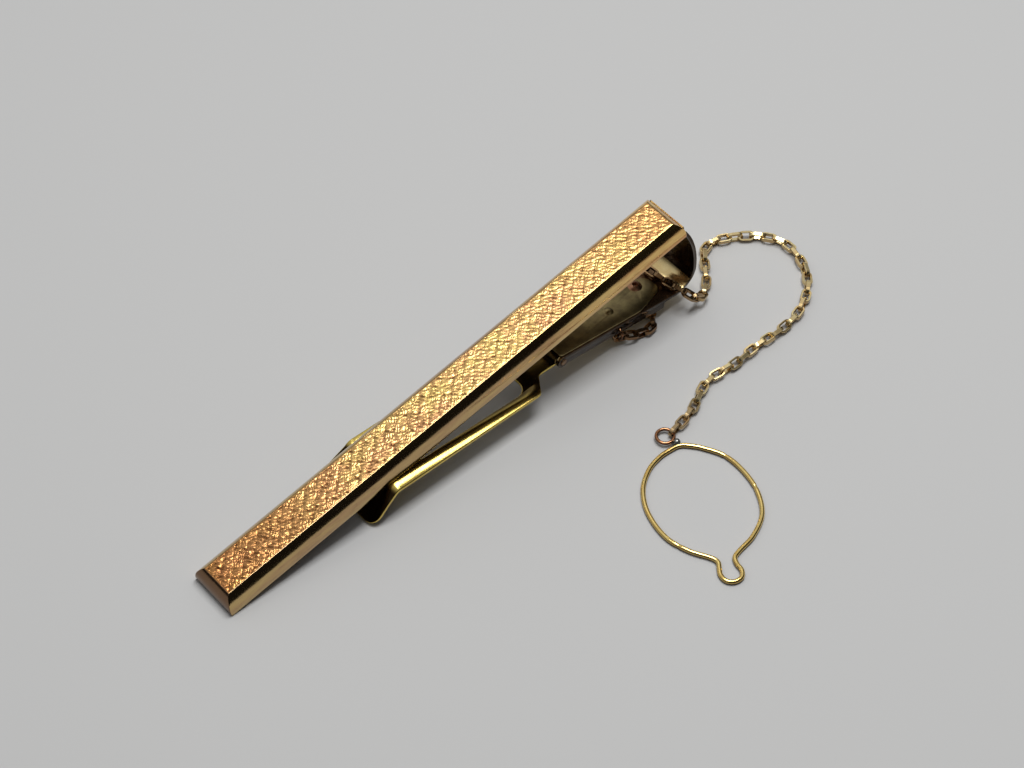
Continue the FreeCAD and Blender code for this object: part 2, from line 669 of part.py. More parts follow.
def chain_links(doc, size):
    """Links along the chain's line, each turned a quarter to the one before; the last stands on edge."""
    curve = chain_curve()
    pitch = curve.length() / LINK_COUNT
    shape = link_shape(size, pitch)
    print(f"chain {curve.length():.2f} mm, {LINK_COUNT} links, pitch {pitch:.3f} mm")
    links = []
    for index in range(LINK_COUNT):
        reaches = [step * pitch for step in (index, index + 1)]
        params = [curve.parameterAtDistance(reach, curve.FirstParameter) for reach in reaches]
        begin, end = [curve.value(param) for param in params]
        middle = (begin + end) / 2
        forward = (end - begin).normalize()
        level = Z_AXIS.cross(forward).normalize()
        upright = forward.cross(level)
        roll = math.radians(LINK_ROLL * (1 if index % 2 else -1) + twist_of(index))
        side = level * math.cos(roll) + upright * math.sin(roll)
        matrix = FreeCAD.Matrix(
            forward.x, side.x, forward.cross(side).x, middle.x,
            forward.y, side.y, forward.cross(side).y, middle.y,
            forward.z, side.z, forward.cross(side).z, middle.z,
            0, 0, 0, 1,
        )
        link = feature(doc, f"link_{index + 1:02d}", shape.copy())
        link.Placement = FreeCAD.Placement(matrix)
        links.append(link)
    nodes = []
    for number, first in enumerate(range(0, LINK_COUNT - 1, LINKS_PER_NODE), 1):
        node = doc.addObject("Part::Compound", f"chain_links_{number:02d}")
        node.Links = links[first:first + LINKS_PER_NODE]
        nodes.append(node)
    links[-1].Label = "chain_end_link"
    return nodes + [links[-1]]


def loop_arcs(size):
    """Radius and middle of the button loop's round ends and of its sides, which meet at the ends' turn."""
    half_length, half_width = size("loop_half_length"), size("loop_half_width")
    lean = math.radians(size("loop_end_turn"))
    growth = (half_length - half_width) / (math.cos(lean) + math.sin(lean) - 1)
    end_centre = growth * math.cos(lean)
    end_radius = half_length - end_centre
    side_radius = end_radius + growth
    return lean, end_radius, end_centre, side_radius, half_width - side_radius


def loop_path(size):
    """Middle line of the button loop's wire: a four-arc oval that runs out into a keyhole tail along +X."""
    lean, end_radius, end_centre, side_radius, side_centre = loop_arcs(size)
    tail, fillet = size("tail_radius"), size("tail_fillet")
    fillet_y = size("tail_neck") / 2 + fillet
    fillet_x = end_centre + math.sqrt((end_radius + fillet) ** 2 - fillet_y ** 2)
    tail_x = fillet_x + math.sqrt((tail + fillet) ** 2 - fillet_y ** 2)
    foot = math.atan2(fillet_y, fillet_x - end_centre)
    throat = math.atan2(fillet_y, fillet_x - tail_x)

    def on(x, y, radius, angle):
        return V(x + radius * math.cos(angle), y + radius * math.sin(angle), 0)

    def arc(x, y, radius, begin, end):
        angles = [begin + (end - begin) * share for share in ARC_SHARES]
        return Part.Arc(*[on(x, y, radius, angle) for angle in angles]).toShape()

    upper = [
        arc(-end_centre, 0, end_radius, math.pi, math.pi - lean),
        arc(0, side_centre, side_radius, math.pi - lean, lean),
        arc(end_centre, 0, end_radius, lean, foot),
        arc(fillet_x, fillet_y, fillet, foot + math.pi, throat + math.pi),
        arc(tail_x, 0, tail, throat, 0),
    ]
    lower = [edge.mirror(V(0, 0, 0), V(0, 1, 0)) for edge in upper]
    return Part.Wire(Part.__sortEdges__(upper + lower)), V(-size("loop_half_length"), 0, 0)


def button_loop(doc, size):
    """Button loop, its eye and the solder bead between them, in the loop's own frame."""
    path, joint = loop_path(size)
    loop = feature(doc, "button_loop", swept_wire(path, joint, V(0, 1, 0), size("loop_wire")))
    lean = math.radians(EYE_HEADING - LOOP_HEADING)
    toward = V(math.cos(lean), math.sin(lean), 0)
    eye = primitive(doc, "Torus", "loop_eye", Radius1="eye_radius", Radius2="eye_wire")
    eye_place = joint + toward * (size("eye_stand") + size("eye_radius")) + V(0, 0, size("eye_rise"))
    spot = joint + toward * (size("eye_stand") / 2) + V(0, 0, size("solder_rise"))
    bead = primitive(
        doc, "Sphere", "solder_ball", FreeCAD.Placement(spot, FreeCAD.Rotation()),
        Radius="solder_radius",
    )
    eye_room = primitive(
        doc, "Torus", "solder_eye", FreeCAD.Placement(eye_place, FreeCAD.Rotation()),
        Radius1="eye_radius", Radius2="eye_wire",
    )
    _, end_radius, end_centre, _, _ = loop_arcs(size)
    wire_end = Part.makeTorus(end_radius, size("loop_wire"), V(-end_centre, 0, 0), Z_AXIS)
    beside_wire = cut(doc, "solder_beside_wire", bead, feature(doc, "solder_wire", wire_end))
    return loop, eye, cut(doc, "loop_solder", beside_wire, eye_room), eye_place


def main():
    """Build the document, place every sub-part, check it and write its solids."""
    doc = FreeCAD.newDocument("TieClip")
    size = write_sheet(doc)
    layout = Layout(size)

    ring, ring_place = chain_ring(doc, size, layout)
    placed = [
        (front_bar(doc, size), FreeCAD.Placement()),
        (bow_strip(doc, size, layout), FreeCAD.Placement()),
        (leaf_spring(doc, size, layout), layout.arm),
        (spring_rivet(doc, size, layout), layout.arm.multiply(rivet_seat(size, layout))),
        (hinge_pin(doc, size), layout.arm),
        (jaw(doc, size, layout), layout.jaw),
        (ring, ring_place),
    ]
    doc.recompute()
    for node, place in placed:
        node.Placement = layout.tilted().multiply(place)
    doc.recompute()
    clip = Part.makeCompound([node.Shape for node, _ in placed[:-1]]).optimalBoundingBox(False)
    shift = -(clip.XMin + clip.XMax) / 2
    for node, place in placed:
        node.Placement = layout.tilted(shift).multiply(place)

    loop, eye, solder, eye_place = button_loop(doc, size)
    end, before = V(*CHAIN_ROUTE[-1]), V(*CHAIN_ROUTE[-2])
    reach = size("eye_radius") - size("eye_wire") - size("link_play") / 2
    eye_spot = end + V(end.x - before.x, end.y - before.y, 0).normalize() * reach
    heading = FreeCAD.Rotation(Z_AXIS, LOOP_HEADING)
    base = eye_spot - heading.multVec(eye_place)
    base.z = size("loop_wire")
    for node, place in ((loop, V(0, 0, 0)), (eye, eye_place), (solder, V(0, 0, 0))):
        node.Placement = FreeCAD.Placement(base + heading.multVec(place), heading)
    nodes = [node for node, _ in placed] + chain_links(doc, size) + [loop, eye, solder]
    doc.recompute()

    for obj in doc.Objects:
        if "Invalid" in obj.State or "Error" in obj.State:
            raise RuntimeError(f"{obj.Label} failed: {obj.State}")
    os.makedirs("parts", exist_ok=True)
    for node in nodes:
        if node.Shape.isNull() or not node.Shape.isValid():
            raise RuntimeError(f"{node.Label} has no valid shape")
    for node in nodes:
        node.Shape.exportStep(os.path.join("parts", f"{node.Label}.step"))
    print(f"tilt {layout.tilt:.3f} deg, shift {shift:.3f} mm, {len(nodes)} nodes")
    pin = layout.tilted(shift).multVec(layout.pin)
    print(f"pin at {pin.x:.3f} {pin.y:.3f} {pin.z:.3f} mm, clip box {clip}")
    links = nodes[len(placed):-3]
    for node in (links[-2], links[-1]):
        box = node.Shape.BoundBox
        print(f"{node.Label} about {box.Center.x:.3f} {box.Center.y:.3f} {box.Center.z:.3f} mm")
    hang = layout.tilted(shift).multiply(ring_place).multVec(V(size("ring_radius"), 0, 0))
    print(f"ring's lowest wire at {hang.x:.3f} {hang.y:.3f} {hang.z:.3f} mm")


main()
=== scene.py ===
"""Looks of a gold-plated tie clip with a hatched bar, a hinged jaw, a safety chain and a button loop.

Every piece stands where its solid stands. Lengths in the classes are in millimetres; meshes are in metres.
"""

import json
import logging
import math
from dataclasses import dataclass
from enum import Enum

import bmesh
import bpy
import numpy as np
from mathutils import Matrix, Vector

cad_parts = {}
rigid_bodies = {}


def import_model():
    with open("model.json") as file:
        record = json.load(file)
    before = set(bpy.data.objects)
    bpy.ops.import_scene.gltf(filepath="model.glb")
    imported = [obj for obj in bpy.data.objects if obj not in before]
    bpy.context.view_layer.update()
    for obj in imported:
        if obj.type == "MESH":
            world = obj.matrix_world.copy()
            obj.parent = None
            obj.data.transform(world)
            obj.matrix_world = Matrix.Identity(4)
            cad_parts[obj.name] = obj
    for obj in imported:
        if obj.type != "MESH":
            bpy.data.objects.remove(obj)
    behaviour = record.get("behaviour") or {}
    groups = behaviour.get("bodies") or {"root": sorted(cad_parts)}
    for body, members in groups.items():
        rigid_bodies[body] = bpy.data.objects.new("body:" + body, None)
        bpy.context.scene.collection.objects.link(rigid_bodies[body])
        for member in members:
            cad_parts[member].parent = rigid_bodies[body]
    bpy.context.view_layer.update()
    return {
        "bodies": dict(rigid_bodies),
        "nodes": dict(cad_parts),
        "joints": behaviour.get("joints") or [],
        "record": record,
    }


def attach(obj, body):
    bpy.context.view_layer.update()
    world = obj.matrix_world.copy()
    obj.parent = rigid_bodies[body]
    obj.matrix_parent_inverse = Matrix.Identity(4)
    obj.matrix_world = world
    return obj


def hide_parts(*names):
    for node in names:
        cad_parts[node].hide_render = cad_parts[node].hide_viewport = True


LOG = logging.getLogger("tie_clip")
MM = 0.001
SEED = 11
GRIME_AND_SHADE = "grime_and_shade"
FULL_TURN = 2 * math.pi

# Bands and noises of the platings
PATCH_NOISE = {"Detail": 4.0, "Roughness": 0.6}
FINE_NOISE = {"Detail": 6.0, "Roughness": 0.7}
PATCH_BAND = (0.38, 0.62)
SPOT_BAND = (0.50, 0.72)
# Faces that look down take painted shade within this band
UNDERSIDE_SHADE_BAND = (0.65, 0.05)
POLISH_BAND = (0.3, 0.7)

# Rounding of the copied sheets: millimetres, degrees and steps
MERGE = 0.001
FLAT_ANGLE = 0.4
SHARP_ANGLE = 32.0
ROUND_STEPS = 2

# Points between two places of a smooth ring
RING_STEPS = 24

Colour = tuple[float, float, float]
Place = tuple[float, float, float]


class Slot(Enum):
    """The record's material slots."""

    BAR = "bar_gold"
    STRIP = "strip_gold"
    LEAF = "leaf_brass"
    RIVET = "rivet_copper"
    CHAIN = "chain_gold"
    LOOP = "loop_gold"
    SOLDER = "solder_grey"


@dataclass(frozen=True)
class Plating:
    """One plated or bare metal finish: two tones in patches, a stain, and its polish.

    The stain lies in fine spots, where a mesh's marks paint dirt and shade, and, as painted shade, by a
    share on faces that look down.
    Patches are drawn out by the streak, along a line that climbs by the slope in degrees. The worn tones
    take over from worn_near to worn_far millimetres along the bar from worn_middle.
    """

    name: str
    tone: Colour
    second: Colour
    stain: Colour
    stain_share: float
    patch: float
    roughness: float
    spread: float
    scratch: float
    scratch_size: float
    worn: Colour = (0.5, 0.3, 0.2)
    worn_second: Colour = (0.5, 0.3, 0.2)
    worn_middle: float = 0.0
    worn_near: float = 900.0
    worn_far: float = 901.0
    # Share of painted shade on faces that look down
    underside_shade: float = 0.0
    streak: float = 1.0
    slope: float = 0.0


HATCHED = Plating(
    name="hatched_gold", tone=(0.83, 0.585, 0.20), second=(0.74, 0.40, 0.18), stain=(0.17, 0.065, 0.022),
    stain_share=0.40, patch=3.0, roughness=0.20, spread=0.14, scratch=0.15, scratch_size=0.12,
    worn=(0.52, 0.21, 0.09), worn_second=(0.58, 0.29, 0.09), worn_middle=3.0, worn_near=8.0, worn_far=38.0,
)
POLISHED = Plating(
    name="polished_gold", tone=(0.92, 0.64, 0.24), second=(0.62, 0.31, 0.11), stain=(0.16, 0.09, 0.055),
    stain_share=0.40, patch=0.9, roughness=0.10, spread=0.10, scratch=0.04, scratch_size=0.16,
    worn=(0.60, 0.43, 0.19), worn_second=(0.50, 0.32, 0.17), worn_middle=34.0, worn_near=2.0, worn_far=34.0,
    streak=10.0, slope=10.965,
)
# Painted shade inside the hollow bar
INSIDE_BROWN_SHADE = Plating(
    name="inside_brown_shade", tone=(0.30, 0.20, 0.10), second=(0.20, 0.13, 0.07), stain=(0.06, 0.04, 0.03),
    stain_share=0.50, patch=1.6, roughness=0.30, spread=0.20, scratch=0.12, scratch_size=0.08,
)
JAW_GOLD = Plating(
    name="jaw_gold", tone=(0.72, 0.55, 0.14), second=(0.62, 0.45, 0.12), stain=(0.09, 0.055, 0.025),
    stain_share=0.22, patch=2.0, roughness=0.12, spread=0.10, scratch=0.05, scratch_size=0.08,
)
STRIP_GOLD = Plating(
    name="strip_gold", tone=(0.93, 0.74, 0.38), second=(0.84, 0.62, 0.28), stain=(0.14, 0.08, 0.04),
    stain_share=0.22, patch=2.0, roughness=0.12, spread=0.10, scratch=0.05, scratch_size=0.08,
)
# Painted shade on the strip's inner faces and on the pin
STRIP_BROWN_SHADE = Plating(
    name="strip_brown_shade", tone=(0.26, 0.16, 0.09), second=(0.18, 0.11, 0.06), stain=(0.06, 0.04, 0.03),
    stain_share=0.40, patch=1.2, roughness=0.20, spread=0.16, scratch=0.10, scratch_size=0.08,
)
BOW_SHADE = Plating(
    name="bow_shade", tone=(0.06, 0.04, 0.025), second=(0.04, 0.026, 0.016), stain=(0.02, 0.013, 0.01),
    stain_share=0.40, patch=1.2, roughness=0.14, spread=0.12, scratch=0.10, scratch_size=0.08,
)
LEAF_BRASS = Plating(
    name="leaf_brass", tone=(0.46, 0.37, 0.17), second=(0.30, 0.23, 0.11), stain=(0.10, 0.07, 0.04),
    stain_share=0.45, patch=1.2, roughness=0.26, spread=0.16, scratch=0.10, scratch_size=0.07,
)
RIVET_COPPER = Plating(
    name="rivet_copper", tone=(0.50, 0.27, 0.16), second=(0.40, 0.21, 0.12), stain=(0.14, 0.08, 0.05),
    stain_share=0.30, patch=0.5, roughness=0.28, spread=0.15, scratch=0.10, scratch_size=0.06,
)
# Painted shade on the links' faces that look down
CHAIN_GOLD = Plating(
    name="chain_gold", tone=(1.0, 0.84, 0.46), second=(1.0, 0.74, 0.36), stain=(0.16, 0.065, 0.03),
    stain_share=0.12, patch=1.4, roughness=0.20, spread=0.08, scratch=0.03, scratch_size=0.06, underside_shade=0.6,
)
# Painted shade on the loop's faces that look down
LOOP_GOLD = Plating(
    name="loop_gold", tone=(1.0, 0.76, 0.28), second=(0.92, 0.64, 0.21), stain=(0.11, 0.06, 0.025),
    stain_share=0.16, patch=1.6, roughness=0.10, spread=0.08, scratch=0.03, scratch_size=0.07, underside_shade=0.9,
)
# Painted shade on faces that look down
EYE_BROWN = Plating(
    name="eye_brown", tone=(0.48, 0.24, 0.12), second=(0.34, 0.16, 0.08), stain=(0.07, 0.035, 0.02),
    stain_share=0.30, patch=0.8, roughness=0.14, spread=0.12, scratch=0.05, scratch_size=0.06, underside_shade=0.9,
)
SOLDER_GREY = Plating(
    name="solder_grey", tone=(0.34, 0.35, 0.33), second=(0.26, 0.27, 0.25), stain=(0.10, 0.09, 0.08),
    stain_share=0.35, patch=0.4, roughness=0.26, spread=0.14, scratch=0.12, scratch_size=0.06,
)


class Socket(Enum):
    """Kinds of sockets of a shader group."""

    VECTOR = "NodeSocketVector"
    COLOUR = "NodeSocketColor"
    VALUE = "NodeSocketFloat"


def add_node(
    tree: bpy.types.NodeTree, kind: str, fed: dict | None = None, values: dict | None = None,
    **options: object,
) -> bpy.types.Node:
    """Add a node to a tree.

    Args:
        tree: the tree to add it to.
        kind: the node's type.
        fed: the sockets that feed its inputs, by the inputs' names or numbers.
        values: fixed values of its inputs, likewise.
        options: the node's own settings.

    Returns:
        The new node.
    """
    node = tree.nodes.new(kind)
    for name, option in options.items():
        setattr(node, name, option)
    for name, value in (values or {}).items():
        node.inputs[name].default_value = value
    for name, socket in (fed or {}).items():
        tree.links.new(socket, node.inputs[name])
    return node


def spread(
    tree: bpy.types.NodeTree, value: bpy.types.NodeSocket, band: tuple[float, float], fed: dict | None = None
) -> bpy.types.NodeSocket:
    """Stretch a band of values over zero to one, or between the sockets that feed other ends."""
    values = {"From Min": band[0], "From Max": band[1]}
    return add_node(tree, "ShaderNodeMapRange", {"Value": value, **(fed or {})}, values).outputs["Result"]


def joined(tree: bpy.types.NodeTree, operation: str, *values: bpy.types.NodeSocket) -> bpy.types.NodeSocket:
    """Work out one value from one or two."""
    return add_node(tree, "ShaderNodeMath", dict(enumerate(values)), operation=operation).outputs["Value"]


def mixed(
    tree: bpy.types.NodeTree, share: bpy.types.NodeSocket, colour: bpy.types.NodeSocket,
    other: bpy.types.NodeSocket,
) -> bpy.types.NodeSocket:
    """Let another colour take over by a share."""
    fed = {"Factor": share, "A": colour, "B": other}
    return add_node(tree, "ShaderNodeMix", fed, data_type="RGBA").outputs["Result"]


def new_group(name: str, inputs: dict, outputs: dict) -> tuple:
    """Start a shader group.

    Args:
        name: the group's name.
        inputs: names of its inputs, by kind of socket.
        outputs: names of its outputs, likewise.

    Returns:
        The group, the sockets that it is given, and the sockets of its results.
    """
    group = bpy.data.node_groups.new(name, "ShaderNodeTree")
    for way, kinds in (("INPUT", inputs), ("OUTPUT", outputs)):
        for kind, names in kinds.items():
            for socket in names:
                group.interface.new_socket(socket, in_out=way, socket_type=kind.value)
    return group, group.nodes.new("NodeGroupInput").outputs, group.nodes.new("NodeGroupOutput").inputs


def plating_group() -> bpy.types.NodeTree:
    """Build the shared shader group of a plated metal: patches of two tones, stains, painted shade, and
    fine scratches.

    Returns:
        The node group, with the outputs Color, Roughness and Height.
    """
    group, given, result = new_group(
        "plating",
        {
            Socket.VECTOR: ("Place", "Facing", "Stretch"),
            Socket.COLOUR: ("Tone", "Second", "Stain"),
            Socket.VALUE: (
                "Slope", "Grime And Shade", "Underside Shade", "Stain Share", "Patch Scale", "Scratch Scale", "Low Roughness",
                "High Roughness",
            ),
        },
        {Socket.COLOUR: ("Color",), Socket.VALUE: ("Roughness", "Height")},
    )
    fed = {"Vector": given["Place"], "Angle": given["Slope"]}
    level = add_node(group, "ShaderNodeVectorRotate", fed, rotation_type="Y_AXIS").outputs["Vector"]
    fed = {0: level, 1: given["Stretch"]}
    drawn = add_node(group, "ShaderNodeVectorMath", fed, operation="MULTIPLY").outputs["Vector"]
    patches, fine = (
        add_node(group, "ShaderNodeTexNoise", {"Vector": drawn, "Scale": given[scale]}, values).outputs["Fac"]
        for scale, values in (("Patch Scale", PATCH_NOISE), ("Scratch Scale", FINE_NOISE))
    )
    tones = mixed(group, spread(group, patches, PATCH_BAND), given["Tone"], given["Second"])
    stain_and_shade = joined(group, "MULTIPLY", spread(group, fine, SPOT_BAND), given["Stain Share"])
    # The marks add dirt and painted shade to the stain's share
    stain_and_shade = joined(group, "MAXIMUM", stain_and_shade, given["Grime And Shade"])
    # Faces that look down take painted shade by the underside share
    facing = add_node(group, "ShaderNodeSeparateXYZ", {"Vector": given["Facing"]}).outputs["Z"]
    below = joined(group, "MULTIPLY", spread(group, facing, UNDERSIDE_SHADE_BAND), given["Underside Shade"])
    stain_and_shade = joined(group, "MAXIMUM", stain_and_shade, below)
    ends = {"To Min": given["Low Roughness"], "To Max": given["High Roughness"]}
    group.links.new(mixed(group, stain_and_shade, tones, given["Stain"]), result["Color"])
    group.links.new(spread(group, fine, POLISH_BAND, ends), result["Roughness"])
    group.links.new(fine, result["Height"])
    return group


def wear_group() -> bpy.types.NodeTree:
    """Build the shared shader group that lets a worn tone take over towards the ends of the bar.

    Returns:
        The node group, with the output Color.
    """
    group, given, result = new_group(
        "end_wear",
        {
            Socket.VECTOR: ("Place",),
            Socket.COLOUR: ("Color", "Worn"),
            Socket.VALUE: ("Middle", "Near", "Far"),
        },
        {Socket.COLOUR: ("Color",)},
    )
    along = add_node(group, "ShaderNodeSeparateXYZ", {"Vector": given["Place"]}).outputs["X"]
    distance = joined(group, "ABSOLUTE", joined(group, "SUBTRACT", along, given["Middle"]))
    fed = {"Value": distance, "From Min": given["Near"], "From Max": given["Far"]}
    share = add_node(group, "ShaderNodeMapRange", fed, interpolation_type="SMOOTHSTEP").outputs["Result"]
    group.links.new(mixed(group, share, given["Color"], given["Worn"]), result["Color"])
    return group


class Dresser:
    """Makes each finish once and puts it on objects."""

    def __init__(self) -> None:
        """Build the shared groups."""
        self.group = plating_group()
        self.wear = wear_group()
        self.made: dict[str, bpy.types.Material] = {}

    def material(self, plating: Plating) -> bpy.types.Material:
        """Material of one plating, built from the shared groups.

        Args:
            plating: the finish to make.

        Returns:
            The Blender material, made on its first use.
        """
        if plating.name in self.made:
            return self.made[plating.name]
        made = bpy.data.materials.new(plating.name)
        made.use_nodes = True
        tree = made.node_tree
        place = add_node(tree, "ShaderNodeTexCoord").outputs
        # The mesh's marks of dirt and painted shade
        marks = add_node(tree, "ShaderNodeAttribute", attribute_name=GRIME_AND_SHADE).outputs
        fed = {"Place": place["Object"], "Facing": place["Normal"], "Grime And Shade": marks["Fac"]}
        for name, colour, worn in (
            ("Tone", plating.tone, plating.worn), ("Second", plating.second, plating.worn_second),
        ):
            values = {
                "Color": (*colour, 1.0), "Worn": (*worn, 1.0), "Middle": plating.worn_middle * MM,
                "Near": plating.worn_near * MM, "Far": plating.worn_far * MM,
            }
            ends = add_node(tree, "ShaderNodeGroup", {"Place": place["Object"]}, values, node_tree=self.wear)
            fed[name] = ends.outputs["Color"]
        values = {
            "Stretch": (1.0 / plating.streak, 1.0, 1.0), "Slope": math.radians(plating.slope),
            "Stain": (*plating.stain, 1.0), "Stain Share": plating.stain_share,
            "Underside Shade": plating.underside_shade, "Patch Scale": 1.0 / (plating.patch * MM),
            "Scratch Scale": 1.0 / (plating.scratch_size * MM),
            "Low Roughness": plating.roughness, "High Roughness": plating.roughness + plating.spread,
        }
        metal = add_node(tree, "ShaderNodeGroup", fed, values, node_tree=self.group).outputs
        values = {"Strength": plating.scratch, "Distance": plating.scratch_size * MM}
        bump = add_node(tree, "ShaderNodeBump", {"Height": metal["Height"]}, values).outputs
        shader = tree.nodes["Principled BSDF"].inputs
        shader["Metallic"].default_value = 1.0
        tree.links.new(metal["Color"], shader["Base Color"])
        tree.links.new(metal["Roughness"], shader["Roughness"])
        tree.links.new(bump["Normal"], shader["Normal"])
        self.made[plating.name] = made
        return made

    def dress(self, obj: bpy.types.Object, slot: Slot, *platings: Plating) -> None:
        """Give an object its platings, in the order of its face indices."""
        if len(obj.data.materials):
            obj.data.materials.clear()
        for plating in platings:
            obj.data.materials.append(self.material(plating))


def mesh_object(name: str, points: np.ndarray, faces: list, smooth: bool = True) -> bpy.types.Object:
    """Put points and faces into a new object at the origin.

    Args:
        name: the piece's name.
        points: places in metres, one row each.
        faces: index lists, each seen from outside.
        smooth: whether the faces are shaded smooth.

    Returns:
        The new object, linked to the scene.
    """
    mesh = bpy.data.meshes.new(name)
    mesh.from_pydata(points.reshape(-1, 3), [], faces)
    mesh.polygons.foreach_set("use_smooth", np.full(len(mesh.polygons), smooth))
    mesh.update()
    obj = bpy.data.objects.new(name, mesh)
    bpy.context.scene.collection.objects.link(obj)
    return obj


def mark_grime_and_shade(obj: bpy.types.Object, shares: np.ndarray) -> None:
    """Mark the shares of dirt and painted shade at an object's points.

    Args:
        obj: the piece.
        shares: one value from zero to one for each of its points.
    """
    layer = obj.data.attributes.new(GRIME_AND_SHADE, "FLOAT", "POINT")
    layer.data.foreach_set("value", shares.astype(np.float32).reshape(-1))


def grid_faces(rows: int, columns: int, wrap_rows: bool = False, wrap_columns: bool = False) -> np.ndarray:
    """Quads of a grid of points counted row by row, joined round where a direction is closed.

    Args:
        rows: points in the first direction.
        columns: points in the second direction.
        wrap_rows: whether the last row meets the first.
        wrap_columns: whether the last column meets the first.

    Returns:
        One row of four indices for each quad.
    """
    index = np.arange(rows * columns).reshape(rows, columns)
    if wrap_rows:
        index = np.vstack([index, index[:1]])
    if wrap_columns:
        index = np.hstack([index, index[:, :1]])
    corners = (index[:-1, :-1], index[1:, :-1], index[1:, 1:], index[:-1, 1:])
    return np.stack(corners, axis=-1).reshape(-1, 4)


def closed_faces(points: np.ndarray) -> np.ndarray:
    """Quads of a grid that is closed in both directions, turned to face outward.

    Args:
        points: the grid of places, with two directions and the coordinates.

    Returns:
        One row of four indices for each quad.
    """
    quads = grid_faces(points.shape[0], points.shape[1], True, True)
    a, b, c, d = (points.reshape(-1, 3)[quads[:, corner]] for corner in range(4))
    volume = (a * np.cross(b, c)).sum() + (a * np.cross(c, d)).sum()
    return quads if volume > 0 else quads[:, ::-1]


def rounded_copy(node: bpy.types.Object, name: str, width: float) -> bpy.types.Object:
    """Copy a solid's mesh with its points merged, flats joined and sharp edges rounded.

    Args:
        node: the solid to copy.
        name: the copy's name.
        width: the rounding's width in millimetres.

    Returns:
        The copy, linked to the scene where its solid stands.
    """
    mesh = node.data.copy()
    mesh.name = name
    work = bmesh.new()
    work.from_mesh(mesh)
    bmesh.ops.remove_doubles(work, verts=work.verts, dist=MERGE * MM)
    flat = math.radians(FLAT_ANGLE)
    bmesh.ops.dissolve_limit(work, angle_limit=flat, verts=work.verts, edges=work.edges)
    work.to_mesh(mesh)
    work.free()
    mesh.polygons.foreach_set("use_smooth", np.ones(len(mesh.polygons), bool))
    obj = bpy.data.objects.new(name, mesh)
    obj.matrix_world = node.matrix_world
    bpy.context.scene.collection.objects.link(obj)
    bevel = obj.modifiers.new("rounding", "BEVEL")
    bevel.width = width * MM
    bevel.segments = ROUND_STEPS
    bevel.limit_method = "ANGLE"
    bevel.angle_limit = math.radians(SHARP_ANGLE)
    bevel.harden_normals = True
    return obj


@dataclass
class BarPose:
    """Where the tilted bar stands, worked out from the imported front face."""

    tilt: float
    shift: float

    @classmethod
    def from_record(cls, record: dict, length: float, height: float) -> "BarPose":
        """Read the tilt and shift from the front face's mount, the middle of the bar's face."""
        face = next(mount for mount in record["mounts"] if mount["name"] == "front_face")
        tilt = math.atan2(-face["axis"][0], face["axis"][2])
        reach = (length / 2 * math.cos(tilt) - height * math.sin(tilt)) * MM
        return cls(tilt, face["pos_m"][0] - reach)

    def place(self, points: np.ndarray) -> np.ndarray:
        """Turn points of the bar's own frame, in millimetres, into places in metres."""
        x, y, z = (points[..., axis] * MM for axis in range(3))
        cos, sin = math.cos(self.tilt), math.sin(self.tilt)
        return np.stack([x * cos - z * sin + self.shift, y, x * sin + z * cos], axis=-1)


@dataclass(frozen=True)
class Lumps:
    """Smooth random waves over the face: their height, length and number.

    They are headed about the middle heading, within a fan to each side, both as shares of a turn.
    """

    height: float
    size: float
    count: int
    middle: float = 0.0
    fan: float = 0.5
    shortest: float = 0.7
    longest: float = 1.3

    def over(self, x: np.ndarray, y: np.ndarray, rng: np.random.Generator) -> np.ndarray:
        """Heights of the waves at places on the face.

        Args:
            x: places along the bar in millimetres.
            y: places across it.
            rng: where the waves' headings, phases and lengths are drawn from.

        Returns:
            One height for each place.
        """
        total = np.zeros_like(x)
        for heading, phase, ratio in rng.uniform(0, 1, (self.count, 3)):
            turn = FULL_TURN * (self.middle + self.fan * (2 * heading - 1))
            length = self.size * (self.shortest + (self.longest - self.shortest) * ratio)
            reach = x * math.cos(turn) + y * math.sin(turn)
            total += np.sin(FULL_TURN / length * reach + FULL_TURN * phase)
        return self.height * total / math.sqrt(self.count)


